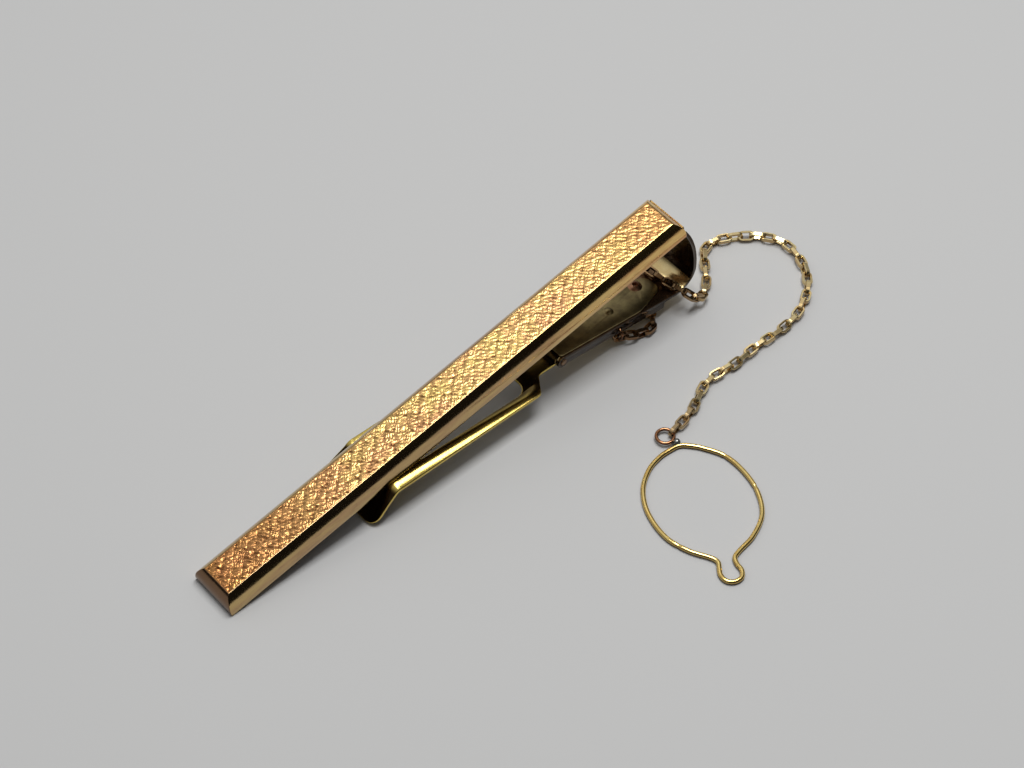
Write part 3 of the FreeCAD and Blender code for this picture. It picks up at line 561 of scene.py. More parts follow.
@dataclass
class FrontBar:
    """Hollow bar with rounded shoulders and a face hatched in small tiles."""

    length: float = 63.5
    width: float = 6.0
    height: float = 2.4
    rim: float = 1.04
    rim_radius: float = 0.14
    rim_steps: int = 6
    shoulder_start: float = 38.0
    shoulder_steps: int = 15
    foot_steps: int = 5
    notch_height: float = 1.35
    sheet: float = 0.4
    edge: float = 0.08
    corner: float = 0.14
    least_corner: float = 0.02
    corner_points: int = 8
    skip: int = 16
    inside_wall: float = 0.7
    inside_bend: tuple[float, float] = (0.12, 1.25)
    inside_slack: float = 0.05
    step: float = 0.052

    # Tiles of the hatching, with their chances and keys
    tile: float = 1.10
    tile_rise: float = 0.35
    tile_lean: float = 1.2
    tile_edge: float = 0.35
    tile_swing: float = 0.30
    even_choice: float = 0.15
    odd_choice: float = -0.85
    traits: int = 7
    draws: int = 211
    column_key: int = 37
    row_key: int = 83

    # Strokes in the tiles, and the waves that unsettle them
    stroke: float = 0.29
    stroke_vary: float = 0.25
    stroke_shift: float = 3.0
    ridge: float = 0.9
    ridge_vary: float = 0.5
    waver_along: Lumps = Lumps(0.10, 2.4, 5)
    waver_across: Lumps = Lumps(0.10, 2.0, 5)
    stroke_waver: Lumps = Lumps(0.9, 0.6, 6)
    swells: Lumps = Lumps(0.32, 0.80, 8)
    flakes: Lumps = Lumps(0.42, 0.48, 14, middle=0.125, fan=0.10)
    grain: Lumps = Lumps(0.08, 0.28, 10)

    # Depth and dirt
    depth: float = 0.029
    grime_level: float = 0.50
    grime_span: float = 1.1
    grime_share: float = 0.95
    worn_end: float = 38.0
    worn_depth: float = 0.6
    worn_grime: float = 0.30
    end_grime: float = 0.92
    border: float = 0.12

    def relief(self, x: np.ndarray, y: np.ndarray) -> tuple[np.ndarray, np.ndarray]:
        """Height of the hatching over the face, and the dirt in its low spots.

        Tiles stand on their points. Each has strokes along one diagonal or the other, at its own angle,
        spacing and strength, over low swells and fine flakes that lie along the first diagonal. Towards the
        free end the strokes are deeper and grimier.

        Args:
            x: places along the bar in millimetres.
            y: places across it.

        Returns:
            Heights in millimetres, zero at the face's border, and shares of dirt.
        """
        rng = np.random.default_rng(SEED)
        along = (x + y) / math.sqrt(2) + self.waver_along.over(x, y, rng)
        across = (x - y) / math.sqrt(2) - self.waver_across.over(x, y, rng)
        column, row = np.floor(along / self.tile).astype(int), np.floor(across / self.tile).astype(int)
        table = rng.uniform(-1, 1, (self.traits, self.draws))
        key = (column * self.column_key + row * self.row_key) % self.draws
        lean_along, lean_across, phase, strength, angle, pace, choice = (values[key] for values in table)
        inside_along = along / self.tile - column - 0.5
        inside_across = across / self.tile - row - 0.5
        swing = self.tile_swing * angle
        first = inside_along + swing * inside_across
        second = inside_across + swing * inside_along
        chance = np.where((column + row) % 2 == 0, self.even_choice, self.odd_choice)
        stroke = np.where(chance + choice < 0, first, second)
        waves = math.pi * self.tile * stroke / (self.stroke * (1 + self.stroke_vary * pace))
        waves = waves + self.stroke_shift * phase + self.stroke_waver.over(x, y, rng)
        ridges = (self.ridge + self.ridge_vary * strength) * np.abs(np.sin(waves))
        crown = np.clip(np.cos(math.pi * inside_along) * np.cos(math.pi * inside_across), 0, 1)
        lean = self.tile_lean * (lean_along * inside_along + lean_across * inside_across)
        height = (ridges + self.tile_rise + lean) * crown ** self.tile_edge
        for lumps in (self.swells, self.flakes, self.grain):
            height += lumps.over(x, y, rng)
        from_side = self.width / 2 - self.rim - np.abs(y)
        from_end = np.minimum(x - self.rim, self.length - self.rim - x)
        fade = np.clip(np.minimum(from_side, from_end) / self.border, 0, 1)
        worn = np.clip(1 - x / self.worn_end, 0, 1)
        low = np.clip((self.grime_level + self.worn_grime * worn - height) / self.grime_span, 0, 1)
        return self.depth * (1 + self.worn_depth * worn) * height * fade, self.grime_share * low * fade

    def section(self) -> np.ndarray:
        """Rings from the face's rim down the outside and up the inside, as (inset, height) rows."""
        start = math.radians(self.shoulder_start)
        turn = np.linspace(0, start, self.rim_steps)
        rim = np.stack([self.rim - self.rim_radius * np.sin(turn),
                        self.height - self.rim_radius * (1 - np.cos(turn))], axis=-1)
        radius = rim[-1, 0] / (1 - math.sin(start))
        turn = np.linspace(start, math.pi / 2, self.shoulder_steps + 1)[1:]
        shoulder = np.stack([rim[-1, 0] - radius * (np.sin(turn) - math.sin(start)),
                             rim[-1, 1] - radius * (math.cos(start) - np.cos(turn))], axis=-1)
        turn = np.linspace(0, math.pi / 2, self.foot_steps)
        foot = self.edge * np.stack([1 - np.cos(turn), 1 - np.sin(turn)], axis=-1)
        inner = foot[::-1] * (-1, 1) + (self.sheet, 0)
        bend, bend_height = self.inside_bend
        inside = np.array([
            (self.sheet, self.inside_wall), (self.sheet + bend, bend_height),
            (self.rim + self.inside_slack, self.height - self.sheet),
        ])
        return np.vstack([rim, shoulder, foot, inner, inside])

    def ring(self, share_x: np.ndarray, share_y: np.ndarray, inset: float, height: float) -> np.ndarray:
        """One ring round the bar, with round corners and the notch for the strip's leg.

        Args:
            share_x: places along the bar, from zero to one.
            share_y: places across it, from minus one to one.
            inset: how far the ring lies inside the bar's outline.
            height: the ring's height.

        Returns:
            The ring's points in the bar's own frame, in millimetres.
        """
        half = self.width / 2
        x = inset + share_x * (self.length - 2 * inset)
        y = share_y * (half - inset)
        notch = (share_x == 1) & (np.abs(y) < half - self.sheet) & (height < self.notch_height)
        z = np.where(notch, self.notch_height, height)
        radius = max(self.corner * (1 - inset / self.rim), self.least_corner)
        end_x = np.where(share_x < 0.5, inset, self.length - inset)
        end_y = np.sign(share_y) * (half - inset)
        from_x, from_y = np.abs(x - end_x), np.abs(y - end_y)
        away = np.maximum(from_x, from_y)
        turn = math.pi / 4 * (1 - np.clip(away / radius, 0, 1))
        far, near = radius * (1 - np.sin(turn)), radius * (1 - np.cos(turn))
        on_side = from_x >= from_y
        to_x = np.where(on_side, far, near)
        to_y = np.where(on_side, near, far)
        inward_x, inward_y = np.where(share_x < 0.5, 1, -1), -np.sign(share_y)
        curved = away < radius
        x = np.where(curved, end_x + inward_x * to_x, x)
        y = np.where(curved, end_y + inward_y * to_y, y)
        return np.stack([x, y, z], axis=-1)

    def build(self, pose: BarPose) -> bpy.types.Object:
        """Make the bar: the hatched face, the rings round it, and the ceiling inside.

        Args:
            pose: where the bar stands.

        Returns:
            The bar, with the face, the outside and the inside as its first, second and third material; the
            inside's is painted shade.
        """
        half = self.width / 2
        columns = int((self.length - 2 * self.rim) / self.step) + 1
        rows = int((self.width - 2 * self.rim) / self.step) + 1
        share_x, share_y = np.meshgrid(np.linspace(0, 1, columns), np.linspace(-1, 1, rows), indexing="ij")
        x = self.rim + share_x * (self.length - 2 * self.rim)
        y = share_y * (half - self.rim)
        relief, grime_and_shade = self.relief(x, y)
        face = np.stack([x, y, self.height + relief], axis=-1).reshape(-1, 3)
        faces = grid_faces(columns, rows).tolist()
        marks = [0] * len(faces)

        index = np.arange(columns * rows).reshape(columns, rows)
        round_index = np.concatenate([index[:-1, 0], index[-1, :-1], index[:0:-1, -1], index[0, :0:-1]])
        corners = np.cumsum([0, columns - 1, rows - 1, columns - 1, rows - 1])
        near = self.corner_points
        chosen = np.unique(np.concatenate([
            np.concatenate([np.arange(low, low + near + 1), np.arange(low + near + 1, high - near, self.skip),
                            np.arange(high - near, high)])
            for low, high in zip(corners[:-1], corners[1:])
        ]))
        pick_x, pick_y = share_x.reshape(-1)[round_index[chosen]], share_y.reshape(-1)[round_index[chosen]]
        section = self.section()
        rings = [self.ring(pick_x, pick_y, inset, height) for inset, height in section]
        count = len(chosen)
        start = len(face)
        after = np.append(chosen[1:], len(round_index))
        for number, (low, high) in enumerate(zip(chosen, after)):
            edge = round_index[np.arange(low, high + 1) % len(round_index)]
            following = (number + 1) % count
            faces.append([*edge[::-1].tolist(), start + number, start + following])
            marks.append(1)
        sides = grid_faces(len(section), count, False, True) + start
        faces += sides.tolist()
        # The rings inside the bar and its ceiling take the third material, painted shade
        outside = self.rim_steps + self.shoulder_steps + self.foot_steps
        marks += [1 if number // count < outside else 2 for number in range(len(sides))]
        faces.append((start + (len(section) - 1) * count + np.arange(count)).tolist())
        marks.append(2)
        points = pose.place(np.vstack([face] + rings))
        bar = mesh_object("hatched_bar", points, faces)
        bar.data.polygons.foreach_set("material_index", np.array(marks, np.int32))
        end = np.tile(np.where(pick_x == 0, self.end_grime, 0.0), len(section))
        mark_grime_and_shade(bar, np.concatenate([grime_and_shade.reshape(-1), end]))
        return bar


def round_path(corners: list, steps: int = 8) -> np.ndarray:
    """Points along an open line whose corners are rounded.

    Args:
        corners: rows of (place, place, rounding) in millimetres; the rounding of the two ends is left out.
        steps: points along each rounding.

    Returns:
        The points, one row each.
    """
    places = np.array([corner[:2] for corner in corners])
    line = [places[0]]
    share = np.linspace(0, 1, steps)[:, None]
    for before, here, after, corner in zip(places, places[1:], places[2:], corners[1:]):
        back, ahead = before - here, after - here
        back, ahead = back / np.linalg.norm(back), ahead / np.linalg.norm(ahead)
        half_turn = math.acos(max(-1.0, min(1.0, float(back @ ahead)))) / 2
        reach = corner[2] / math.tan(half_turn)
        first, last = here + back * reach, here + ahead * reach
        line.extend((1 - share) ** 2 * first + 2 * share * (1 - share) * here + share ** 2 * last)
    line.append(places[-1])
    return np.array(line)


def reaches(line: np.ndarray) -> np.ndarray:
    """Distance along a line to each of its points."""
    return np.concatenate([[0.0], np.cumsum(np.linalg.norm(np.diff(line, axis=0), axis=1))])


def even_points(line: np.ndarray, count: int) -> np.ndarray:
    """The same line with evenly spaced points.

    Args:
        line: points of the line, one row each.
        count: how many points to give back, both ends among them.

    Returns:
        The new points.
    """
    reach = reaches(line)
    marks = np.linspace(0, reach[-1], count)
    return np.stack([np.interp(marks, reach, line[:, axis]) for axis in range(line.shape[1])], axis=-1)


def smooth_ring(places: np.ndarray, count: int) -> np.ndarray:
    """Closed smooth line through places, with evenly spaced points.

    Between two places it is a cubic, whose slope at each place is that of the chord between its neighbours.

    Args:
        places: the places, one row each, in order round the ring.
        count: how many points to give back.

    Returns:
        The points of the line.
    """
    after = np.roll(places, -1, axis=0)
    step = np.linalg.norm(after - places, axis=1)[:, None]
    slope = (after - np.roll(places, 1, axis=0)) / (step + np.roll(step, 1, axis=0))
    leave, arrive = slope * step, np.roll(slope, -1, axis=0) * step
    share = np.linspace(0, 1, RING_STEPS, endpoint=False)[None, :, None]
    rest = 1 - share
    line = rest ** 2 * ((1 + 2 * share) * places[:, None] + share * leave[:, None])
    line = line + share ** 2 * ((1 + 2 * rest) * after[:, None] - rest * arrive[:, None])
    line = line.reshape(-1, places.shape[1])
    return even_points(np.vstack([line, line[:1]]), count + 1)[:-1]


def ring_sides(line: np.ndarray) -> np.ndarray:
    """Directions to the right of a closed flat line, one row of length one for each of its points."""
    ahead = np.roll(line, -1, axis=0) - np.roll(line, 1, axis=0)
    ahead /= np.linalg.norm(ahead, axis=1, keepdims=True)
    return np.stack([ahead[:, 1], -ahead[:, 0]], axis=-1)


def wire_ring(line: np.ndarray, radius: np.ndarray | float, around: int) -> np.ndarray:
    """Surface of a round wire along a closed flat line.

    Args:
        line: points of the line, one row of two places each.
        radius: the wire's radius, or one for each point.
        around: points round the wire.

    Returns:
        The grid of places, along the line and round the wire.
    """
    turn = np.linspace(0, FULL_TURN, around, endpoint=False)
    radius = np.broadcast_to(radius, len(line))[:, None]
    flat = line[:, None] + ring_sides(line)[:, None] * (radius * np.cos(turn))[..., None]
    return np.concatenate([flat, (radius * np.sin(turn))[..., None]], axis=-1)


@dataclass
class HingedJaw:
    """Jaw about its pin: a sheet with a window, bowed side rails, a knee and a flared lip.

    The near rail has a crest, from which it bows down towards the window and a little towards its outer
    edge. The far rail's crest is its outer edge, and the lip flares out on that side.
    """

    pin: Place = (12.921, 0.0, 3.870)
    slope: float = 1.404
    level: float = -0.60
    sheet: float = 0.40
    edge: float = 0.09
    reach: float = 23.8
    half_width: float = 4.05
    knee_radius: float = 1.1
    knee_turn: float = 49.0
    lip_length: float = 4.5
    lip_corner: float = 1.6
    far_lip_corner: float = 0.7
    root: float = 0.3
    root_corner: float = 0.05
    neck_reach: float = 3.0
    neck_corner: float = 0.9
    neck_half: float = 1.9
    shoulder_reach: float = 4.5
    shoulder_corner: float = 0.6
    window_half: float = 2.5
    window_start: float = 5.2
    window_end: float = 20.8
    window_corner: float = 1.5
    crest_near_knee: float = 2.95
    crest_near_neck: float = 3.62
    inner_bow: float = 0.68
    outer_bow: float = 0.46
    bow_start: float = 3.6
    bow_past_knee: float = 2.2
    bow_run: float = 2.4
    lip_bow: float = 0.25
    far_bow_share: float = 0.60
    far_extra: float = 0.10
    far_flare: float = 0.90
    # Painted shade on the lip, the shoulder, the rails' inner sides and the barrel
    dark: float = 0.85
    inner_dark: float = 0.8
    shoulder_dark: float = 6.4
    shoulder_fade: float = 1.2
    lip_dark: float = 0.5
    lip_fade: float = 0.4
    barrel_radius: float = 0.8
    barrel_bore: float = 0.43
    barrel_half: float = 2.05
    barrel_cut: float = 0.06
    barrel_dark: float = 0.9
    barrel_points: int = 40
    quarter: int = 90
    rows: int = 60
    edge_steps: int = 9
    corner_steps: int = 16

    def loops(self) -> tuple[np.ndarray, np.ndarray]:
        """The sheet's outline and its window, laid flat, point for point opposite each other.

        Returns:
            Two closed loops of (distance from the pin, place across) rows.
        """
        half, middle = self.half_width, (self.window_start + self.window_end) / 2
        end = self.reach + self.knee_radius * math.radians(self.knee_turn) + self.lip_length
        side = -self.window_half
        outer_lip, far_lip, inner_lip = (
            round_path([(tip, 0, 0), (tip, edge, corner), (middle, edge, 0)], self.corner_steps)
            for tip, edge, corner in (
                (end, -half, self.lip_corner), (end, -half, self.far_lip_corner),
                (self.window_end, side, self.window_corner),
            )
        )
        outer_neck = round_path([
            (middle, -half, 0), (self.shoulder_reach, -half, self.shoulder_corner),
            (self.neck_reach, -self.neck_half, self.neck_corner),
            (self.root, -self.neck_half, self.root_corner), (self.root, 0, 0),
        ])
        inner_neck = round_path(
            [(middle, side, 0), (self.window_start, side, self.window_corner), (self.window_start, 0, 0)],
            self.corner_steps,
        )
        loops = []
        for lip, other, neck in ((outer_lip, far_lip, outer_neck), (inner_lip, inner_lip, inner_neck)):
            near, far = (
                np.vstack([even_points(part, self.quarter)[:-1], even_points(neck, self.quarter)])
                for part in (lip, other)
            )
            loops.append(np.vstack([near, far[-2:0:-1] * (1, -1)]))
        return loops[0], loops[1]

    def bend(self, flat: np.ndarray, level: np.ndarray) -> np.ndarray:
        """Bend flat points round the knee, bow the rails, and put them in place.

        Args:
            flat: rows of (distance from the pin, place across) in millimetres.
            level: heights over the middle of the sheet.

        Returns:
            Places in metres.
        """
        along, across = flat[..., 0], flat[..., 1]
        turn = np.clip((along - self.reach) / self.knee_radius, 0, math.radians(self.knee_turn))
        after = np.maximum(along - self.reach - self.knee_radius * math.radians(self.knee_turn), 0)
        u = np.minimum(along, self.reach) + self.knee_radius * np.sin(turn) + after * np.cos(turn)
        w = -self.knee_radius * (1 - np.cos(turn)) - after * np.sin(turn)
        crest = np.where(across > 0, self.half_width, np.interp(along, *self.crest_line()))
        inward = np.clip(np.abs(across) - crest, self.window_half - crest, 0)
        outward = np.maximum(np.abs(across) - crest, 0)
        dip = self.inner_bow / 2 * inward ** 2 + self.outer_bow / 2 * outward ** 2
        begin = np.clip((along - self.bow_start) / self.bow_run, 0, 1)
        finish = np.clip((self.reach + self.bow_past_knee - along) / self.bow_run, 0, 1)
        dip = dip * np.where(across > 0, self.far_bow_share, 1.0)
        bowed = level - dip * begin * (self.lip_bow + (1 - self.lip_bow) * finish)
        outer = np.clip((across - self.window_half) / (self.half_width - self.window_half), 0, 1)
        across = across + outer * (self.far_extra * begin + self.far_flare * after / self.lip_length)
        u = u + bowed * np.sin(turn)
        w = w + bowed * np.cos(turn) + self.level
        angle = math.radians(self.slope)
        x = self.pin[0] - u * math.cos(angle) + w * math.sin(angle)
        z = self.pin[2] + u * math.sin(angle) + w * math.cos(angle)
        return np.stack([x, across, z], axis=-1) * MM

    def plate(self) -> tuple[np.ndarray, np.ndarray]:
        """Surface of the sheet: over the top from the window to the outline, round the edge, and back below.

        Returns:
            The grid of places in metres, and its shares of painted shade, which leave the edges bright.
        """
        outer, inner = self.loops()

        def outward(loop: np.ndarray) -> np.ndarray:
            """Flat directions that point out of a loop."""
            side = ring_sides(loop)
            return side * np.sign(((loop - loop.mean(axis=0)) * side).sum(axis=1).mean())

        out, window_out = outward(outer), outward(inner)
        rim, hole = outer - out * self.edge, inner + window_out * self.edge
        half = self.sheet / 2
        shares = np.linspace(0, 1, self.rows)
        turns = np.linspace(math.pi / 2, -math.pi / 2, self.edge_steps)[1:-1]
        flat, level = [], []
        for way, edge, beyond in ((1, rim, out), (-1, hole, -window_out)):
            flat += [hole + share * (rim - hole) for share in shares[::way]]
            level += [way * half] * self.rows
            flat += [edge + beyond * self.edge * math.cos(turn) for turn in way * turns]
            level += [self.lift(turn) for turn in way * turns]
        places = np.stack(flat, axis=1)
        level = np.broadcast_to(np.array(level), places.shape[:2])
        along, across = places[..., 0], places[..., 1]
        # Painted shade on the lip, the shoulder and the rails' inner sides; the edges stay bright
        lip = np.clip((along - self.reach - self.lip_dark) / self.lip_fade, 0, 1)
        shoulder = np.clip((self.shoulder_dark - along) / self.shoulder_fade, 0, 1)
        inside = np.clip((np.interp(along, *self.crest_line()) - np.abs(across)) / self.inner_dark, 0, 1)
        inside = np.where(along < self.window_end, inside, 0)
        grime_and_shade = np.maximum(lip, self.dark * np.maximum(shoulder, inside)) * (np.abs(level) >= half)
        return self.bend(places, level), grime_and_shade

    def crest_line(self) -> tuple[tuple, tuple]:
        """Distances from the pin, and how far across the rails' crests lie at them."""
        return (self.window_start, self.window_end), (self.crest_near_neck, self.crest_near_knee)

    def lift(self, turn: float) -> float:
        """Height over the middle of the sheet at a turn of its rounded edge."""
        side = np.sign(round(turn, 6))
        return side * (self.sheet / 2 - self.edge) + self.edge * math.sin(turn)

    def barrel(self) -> np.ndarray:
        """Surface of the rolled barrel with its bore, in metres."""
        half, inset = self.barrel_half, self.barrel_half - self.barrel_cut
        radius, bore = self.barrel_radius, self.barrel_bore
        cut = radius - self.barrel_cut
        section = np.array([
            (bore, half), (cut, half), (radius, inset), (radius, -inset), (cut, -half), (bore, -half),
        ])
        turn = np.linspace(0, FULL_TURN, self.barrel_points, endpoint=False)
        x = self.pin[0] + section[None, :, 0] * np.cos(turn)[:, None]
        z = self.pin[2] + section[None, :, 0] * np.sin(turn)[:, None]
        y = np.broadcast_to(section[None, :, 1], x.shape)
        return np.stack([x, y, z], axis=-1) * MM

    def build(self) -> bpy.types.Object:
        """Make the jaw.

        Returns:
            The jaw's object.
        """
        (plate, grime_and_shade), barrel = self.plate(), self.barrel()
        faces = closed_faces(plate)
        more = closed_faces(barrel) + plate.shape[0] * plate.shape[1]
        points = np.vstack([plate.reshape(-1, 3), barrel.reshape(-1, 3)])
        jaw = mesh_object("hinged_jaw", points, np.vstack([faces, more]).tolist())
        smooth = np.ones(len(faces) + len(more), bool)
        smooth[len(faces):] = False
        jaw.data.polygons.foreach_set("use_smooth", smooth)
        # Painted shade on the barrel under the bar
        barrel_shade = np.full(len(points) - grime_and_shade.size, self.barrel_dark)
        mark_grime_and_shade(jaw, np.concatenate([grime_and_shade.reshape(-1), barrel_shade]))
        return jaw


@dataclass
class SafetyChain:
    """Cable chain of filed links along a smooth line, from the ring on the arm to the loop's eye.

    The route's places guide the line. The links' darkening is listed as (number of a link, share): painted
    shade under the arm and in the bow, and darker again towards the eye.
    """

    wire: float = 0.15
    filed: float = 0.118
    broad: float = 0.23
    facet: float = 0.04
    width: float = 1.2
    play: float = 0.09
    count: int = 63
    uneven: float = 20.0
    even_ends: int = 3
    lean: Place = (-0.17, -0.21, 0.0)
    stations: int = 24
    order: int = 3
    resolution: int = 32
    route: tuple = (
        (20.9, -2.29, 1.394), (22.4, -2.75, 1.1), (24.0, -3.4, 0.67), (25.65, -3.55, 0.61),
        (26.85, -2.1, 0.61), (26.7, 0.2, 0.61), (26.3, 2.0, 0.61), (26.0, 3.9, 0.61), (26.4, 5.9, 0.8),
        (28.1, 6.7, 1.6), (29.7, 5.3, 2.6), (29.3, 3.1, 3.0), (29.35, 1.3, 2.94), (29.6, -0.4, 2.92),
        (29.85, -1.7, 2.94), (30.12, -3.05, 3.05), (30.65, -4.1, 2.45), (31.8, -4.35, 1.35),
        (33.6, -3.5, 0.63), (35.2, -2.0, 0.61), (36.5, -0.3, 0.61), (37.5, 1.1, 0.61), (39.4, 1.4, 0.61),
        (41.6, 0.3, 0.61), (43.4, -0.9, 0.61), (45.3, -3.1, 0.61), (45.6, -5.6, 0.61), (44.3, -8.9, 0.61),
        (42.2, -11.0, 0.61), (39.4, -12.5, 0.61), (36.0, -12.9, 0.61), (32.0, -12.7, 0.61),
        (28.2, -13.1, 0.61), (25.2, -12.5, 0.61), (22.8, -13.5, 0.61), (20.9, -14.6, 0.61),
        (19.0, -15.0, 0.61), (18.0, -15.17, 0.61), (16.99, -15.34, 0.61),
    )
    # Painted shade on the links under the arm and in the bow; the last links are darker towards the eye
    grime_and_shade: tuple = ((0, 0.9), (21, 0.8), (27, 0.25), (32, 0.0), (55, 0.0), (58, 0.3), (60, 0.6), (62, 0.7))

    def line(self) -> np.ndarray:
        """Points along the chain's smooth line, in metres, read from a bare curve through the route."""
        curve = bpy.data.curves.new("chain_line", "CURVE")
        curve.dimensions = "3D"
        spline = curve.splines.new("NURBS")
        spline.points.add(len(self.route) - 1)
        for point, place in zip(spline.points, self.route):
            point.co = (*(value * MM for value in place), 1.0)
        spline.order_u = self.order
        spline.use_endpoint_u = True
        spline.resolution_u = self.resolution
        holder = bpy.data.objects.new("chain_line", curve)
        mesh = bpy.data.meshes.new_from_object(holder)
        points = np.zeros(len(mesh.vertices) * 3)
        mesh.vertices.foreach_get("co", points)
        bpy.data.objects.remove(holder)
        bpy.data.meshes.remove(mesh)
        bpy.data.curves.remove(curve)
        return points.reshape(-1, 3)

    def link(self, pitch: float) -> np.ndarray:
        """Surface of one link about its own middle, in metres.

        The wire's section, flattened and with filed corners, is carried round two half circles and two
        straight sides.
        """
        end_radius = self.width / 2 - self.wire
        straight = pitch / 2 + self.wire + self.play / 2 - end_radius
        turn = np.linspace(-math.pi / 2, math.pi / 2, self.stations // 2)
        ring = np.stack([np.cos(turn), np.sin(turn)], axis=-1)
        right = end_radius * ring + (straight, 0)
        middle, out = np.vstack([right, -right]), np.vstack([ring, -ring])
        quarter = np.array([(self.filed, self.broad - self.facet), (self.filed - self.facet, self.broad)])
        half = np.vstack([quarter, quarter[::-1] * (-1, 1)])
        section = np.vstack([half, -half])
        plane = middle[:, None, :] + out[:, None, :] * section[None, :, :1]
        level = np.broadcast_to(section[None, :, 1:], (*plane.shape[:2], 1))
        return np.concatenate([plane, level], axis=-1) * MM

    def rolls(self, level: np.ndarray) -> np.ndarray:
        """Roll of each link in radians: standing and flat in turn, with a lean, and a little uneven.

        Args:
            level: each link's level direction across the line.

        Returns:
            One roll for each link; those at the ends neither lean nor vary.
        """
        number = np.arange(self.count)
        loose = (number >= self.even_ends) & (number < self.count - self.even_ends)
        uneven = np.random.default_rng(SEED).uniform(-1, 1, self.count) * math.radians(self.uneven)
        return np.where(number % 2 == 1, 0.0, -math.pi / 2) + (uneven - level @ np.array(self.lean)) * loose

    def build(self) -> tuple[bpy.types.Object, bpy.types.Object, np.ndarray]:
        """Lay the links along the line, each turned a quarter to the one before.

        Returns:
            The chain without its last link, the last link, and the points of the line up to that link.
        """
        line = self.line()
        reach = reaches(line)
        pitch = reach[-1] / self.count
        ends = even_points(line, self.count + 1)
        forward = np.diff(ends, axis=0)
        middle = ends[:-1] + forward / 2
        forward /= np.linalg.norm(forward, axis=1, keepdims=True)
        level = np.cross((0.0, 0.0, 1.0), forward)
        level /= np.linalg.norm(level, axis=1, keepdims=True)
        upright = np.cross(forward, level)
        roll = self.rolls(level)
        side = level * np.cos(roll)[:, None] + upright * np.sin(roll)[:, None]
        axes = np.stack([forward, side, np.cross(forward, side)], axis=1)
        link = self.link(pitch / MM)
        points = np.einsum("srk,nkc->nsrc", link, axes) + middle[:, None, None, :]
        quads = grid_faces(link.shape[0], link.shape[1], True, True)[:, ::-1]
        each = link.shape[0] * link.shape[1]
        faces = (quads[None] + (np.arange(self.count - 1) * each)[:, None, None]).reshape(-1, 4)
        chain = mesh_object("safety_chain", points[:-1], faces.tolist(), smooth=False)
        last = mesh_object("chain_last_link", points[-1], quads.tolist(), smooth=False)
        # Painted shade, link by link
        listed = np.array(self.grime_and_shade)
        shares = np.repeat(np.interp(np.arange(self.count), listed[:, 0], listed[:, 1]), each)
        mark_grime_and_shade(chain, shares[:-each])
        mark_grime_and_shade(last, shares[-each:])
        return chain, last, np.vstack([line[reach < reach[-1] - pitch], ends[-2]])


@dataclass
class EyeRing:
    """Eye on the button loop: a ring that runs through the last link and through the solder."""

    middle: Place = (16.263, -15.159, 0.525)
    radius: float = 0.95
    wire: float = 0.19
    around: int = 48
    across: int = 16

    def build(self) -> bpy.types.Object:
        """Make the ring.

        Returns:
            The ring's object.
        """
        turn = np.linspace(0, FULL_TURN, self.around, endpoint=False)
        line = self.radius * np.stack([np.cos(turn), np.sin(turn)], axis=-1)
        points = (wire_ring(line, self.wire, self.across) + np.array(self.middle)) * MM
        return mesh_object("eye_ring", points, closed_faces(points).tolist())


@dataclass
class ButtonLoop:
    """Button loop: wire bent from the solder into a rounded drop with a keyhole tail.

    Its places are (along the heading, across it) from the solder. The nicks are small dents in the wire.
    """

    start: Place = (16.60, -16.90, 0.275)
    heading: float = 245.2
    wire: float = 0.275
    nick_depth: float = 0.045
    nick_spread: float = 0.22
    stations: int = 300
    around: int = 14
    places: tuple = (
        (0.0, 0.0), (0.15, 0.8), (0.9, 2.3), (2.6, 4.35), (5.2, 5.6), (8.0, 6.05), (10.8, 5.5), (13.1, 3.65),
        (14.5, 1.6), (15.1, 0.95), (15.9, 0.88), (16.8, 1.1), (17.6, 0.78), (17.9, -0.05), (17.6, -0.85),
        (16.8, -1.2), (15.9, -1.05), (15.2, -0.92), (14.6, -1.3), (13.0, -3.4), (10.8, -5.1), (7.4, -5.9),
        (4.4, -5.45), (2.1, -4.0), (0.8, -2.3), (0.2, -0.8),
    )
    nicks: tuple = ((2.6, 4.35), (7.3, 6.0), (12.2, -4.2))

    def build(self) -> bpy.types.Object:
        """Make the loop: a round section carried along the line, thinner at the nicks.

        Returns:
            The loop's object.
        """
        line = smooth_ring(np.array(self.places), self.stations)
        away = np.linalg.norm(line[:, None, :] - np.array(self.nicks)[None], axis=-1).min(axis=1)
        radius = self.wire - self.nick_depth * np.exp(-(away / self.nick_spread) ** 2)
        cos, sin = math.cos(math.radians(self.heading)), math.sin(math.radians(self.heading))
        line = line @ np.array([(cos, sin), (-sin, cos)])
        points = (wire_ring(line, radius, self.around) + np.array(self.start)) * MM
        return mesh_object("button_loop_wire", points, closed_faces(points).tolist())


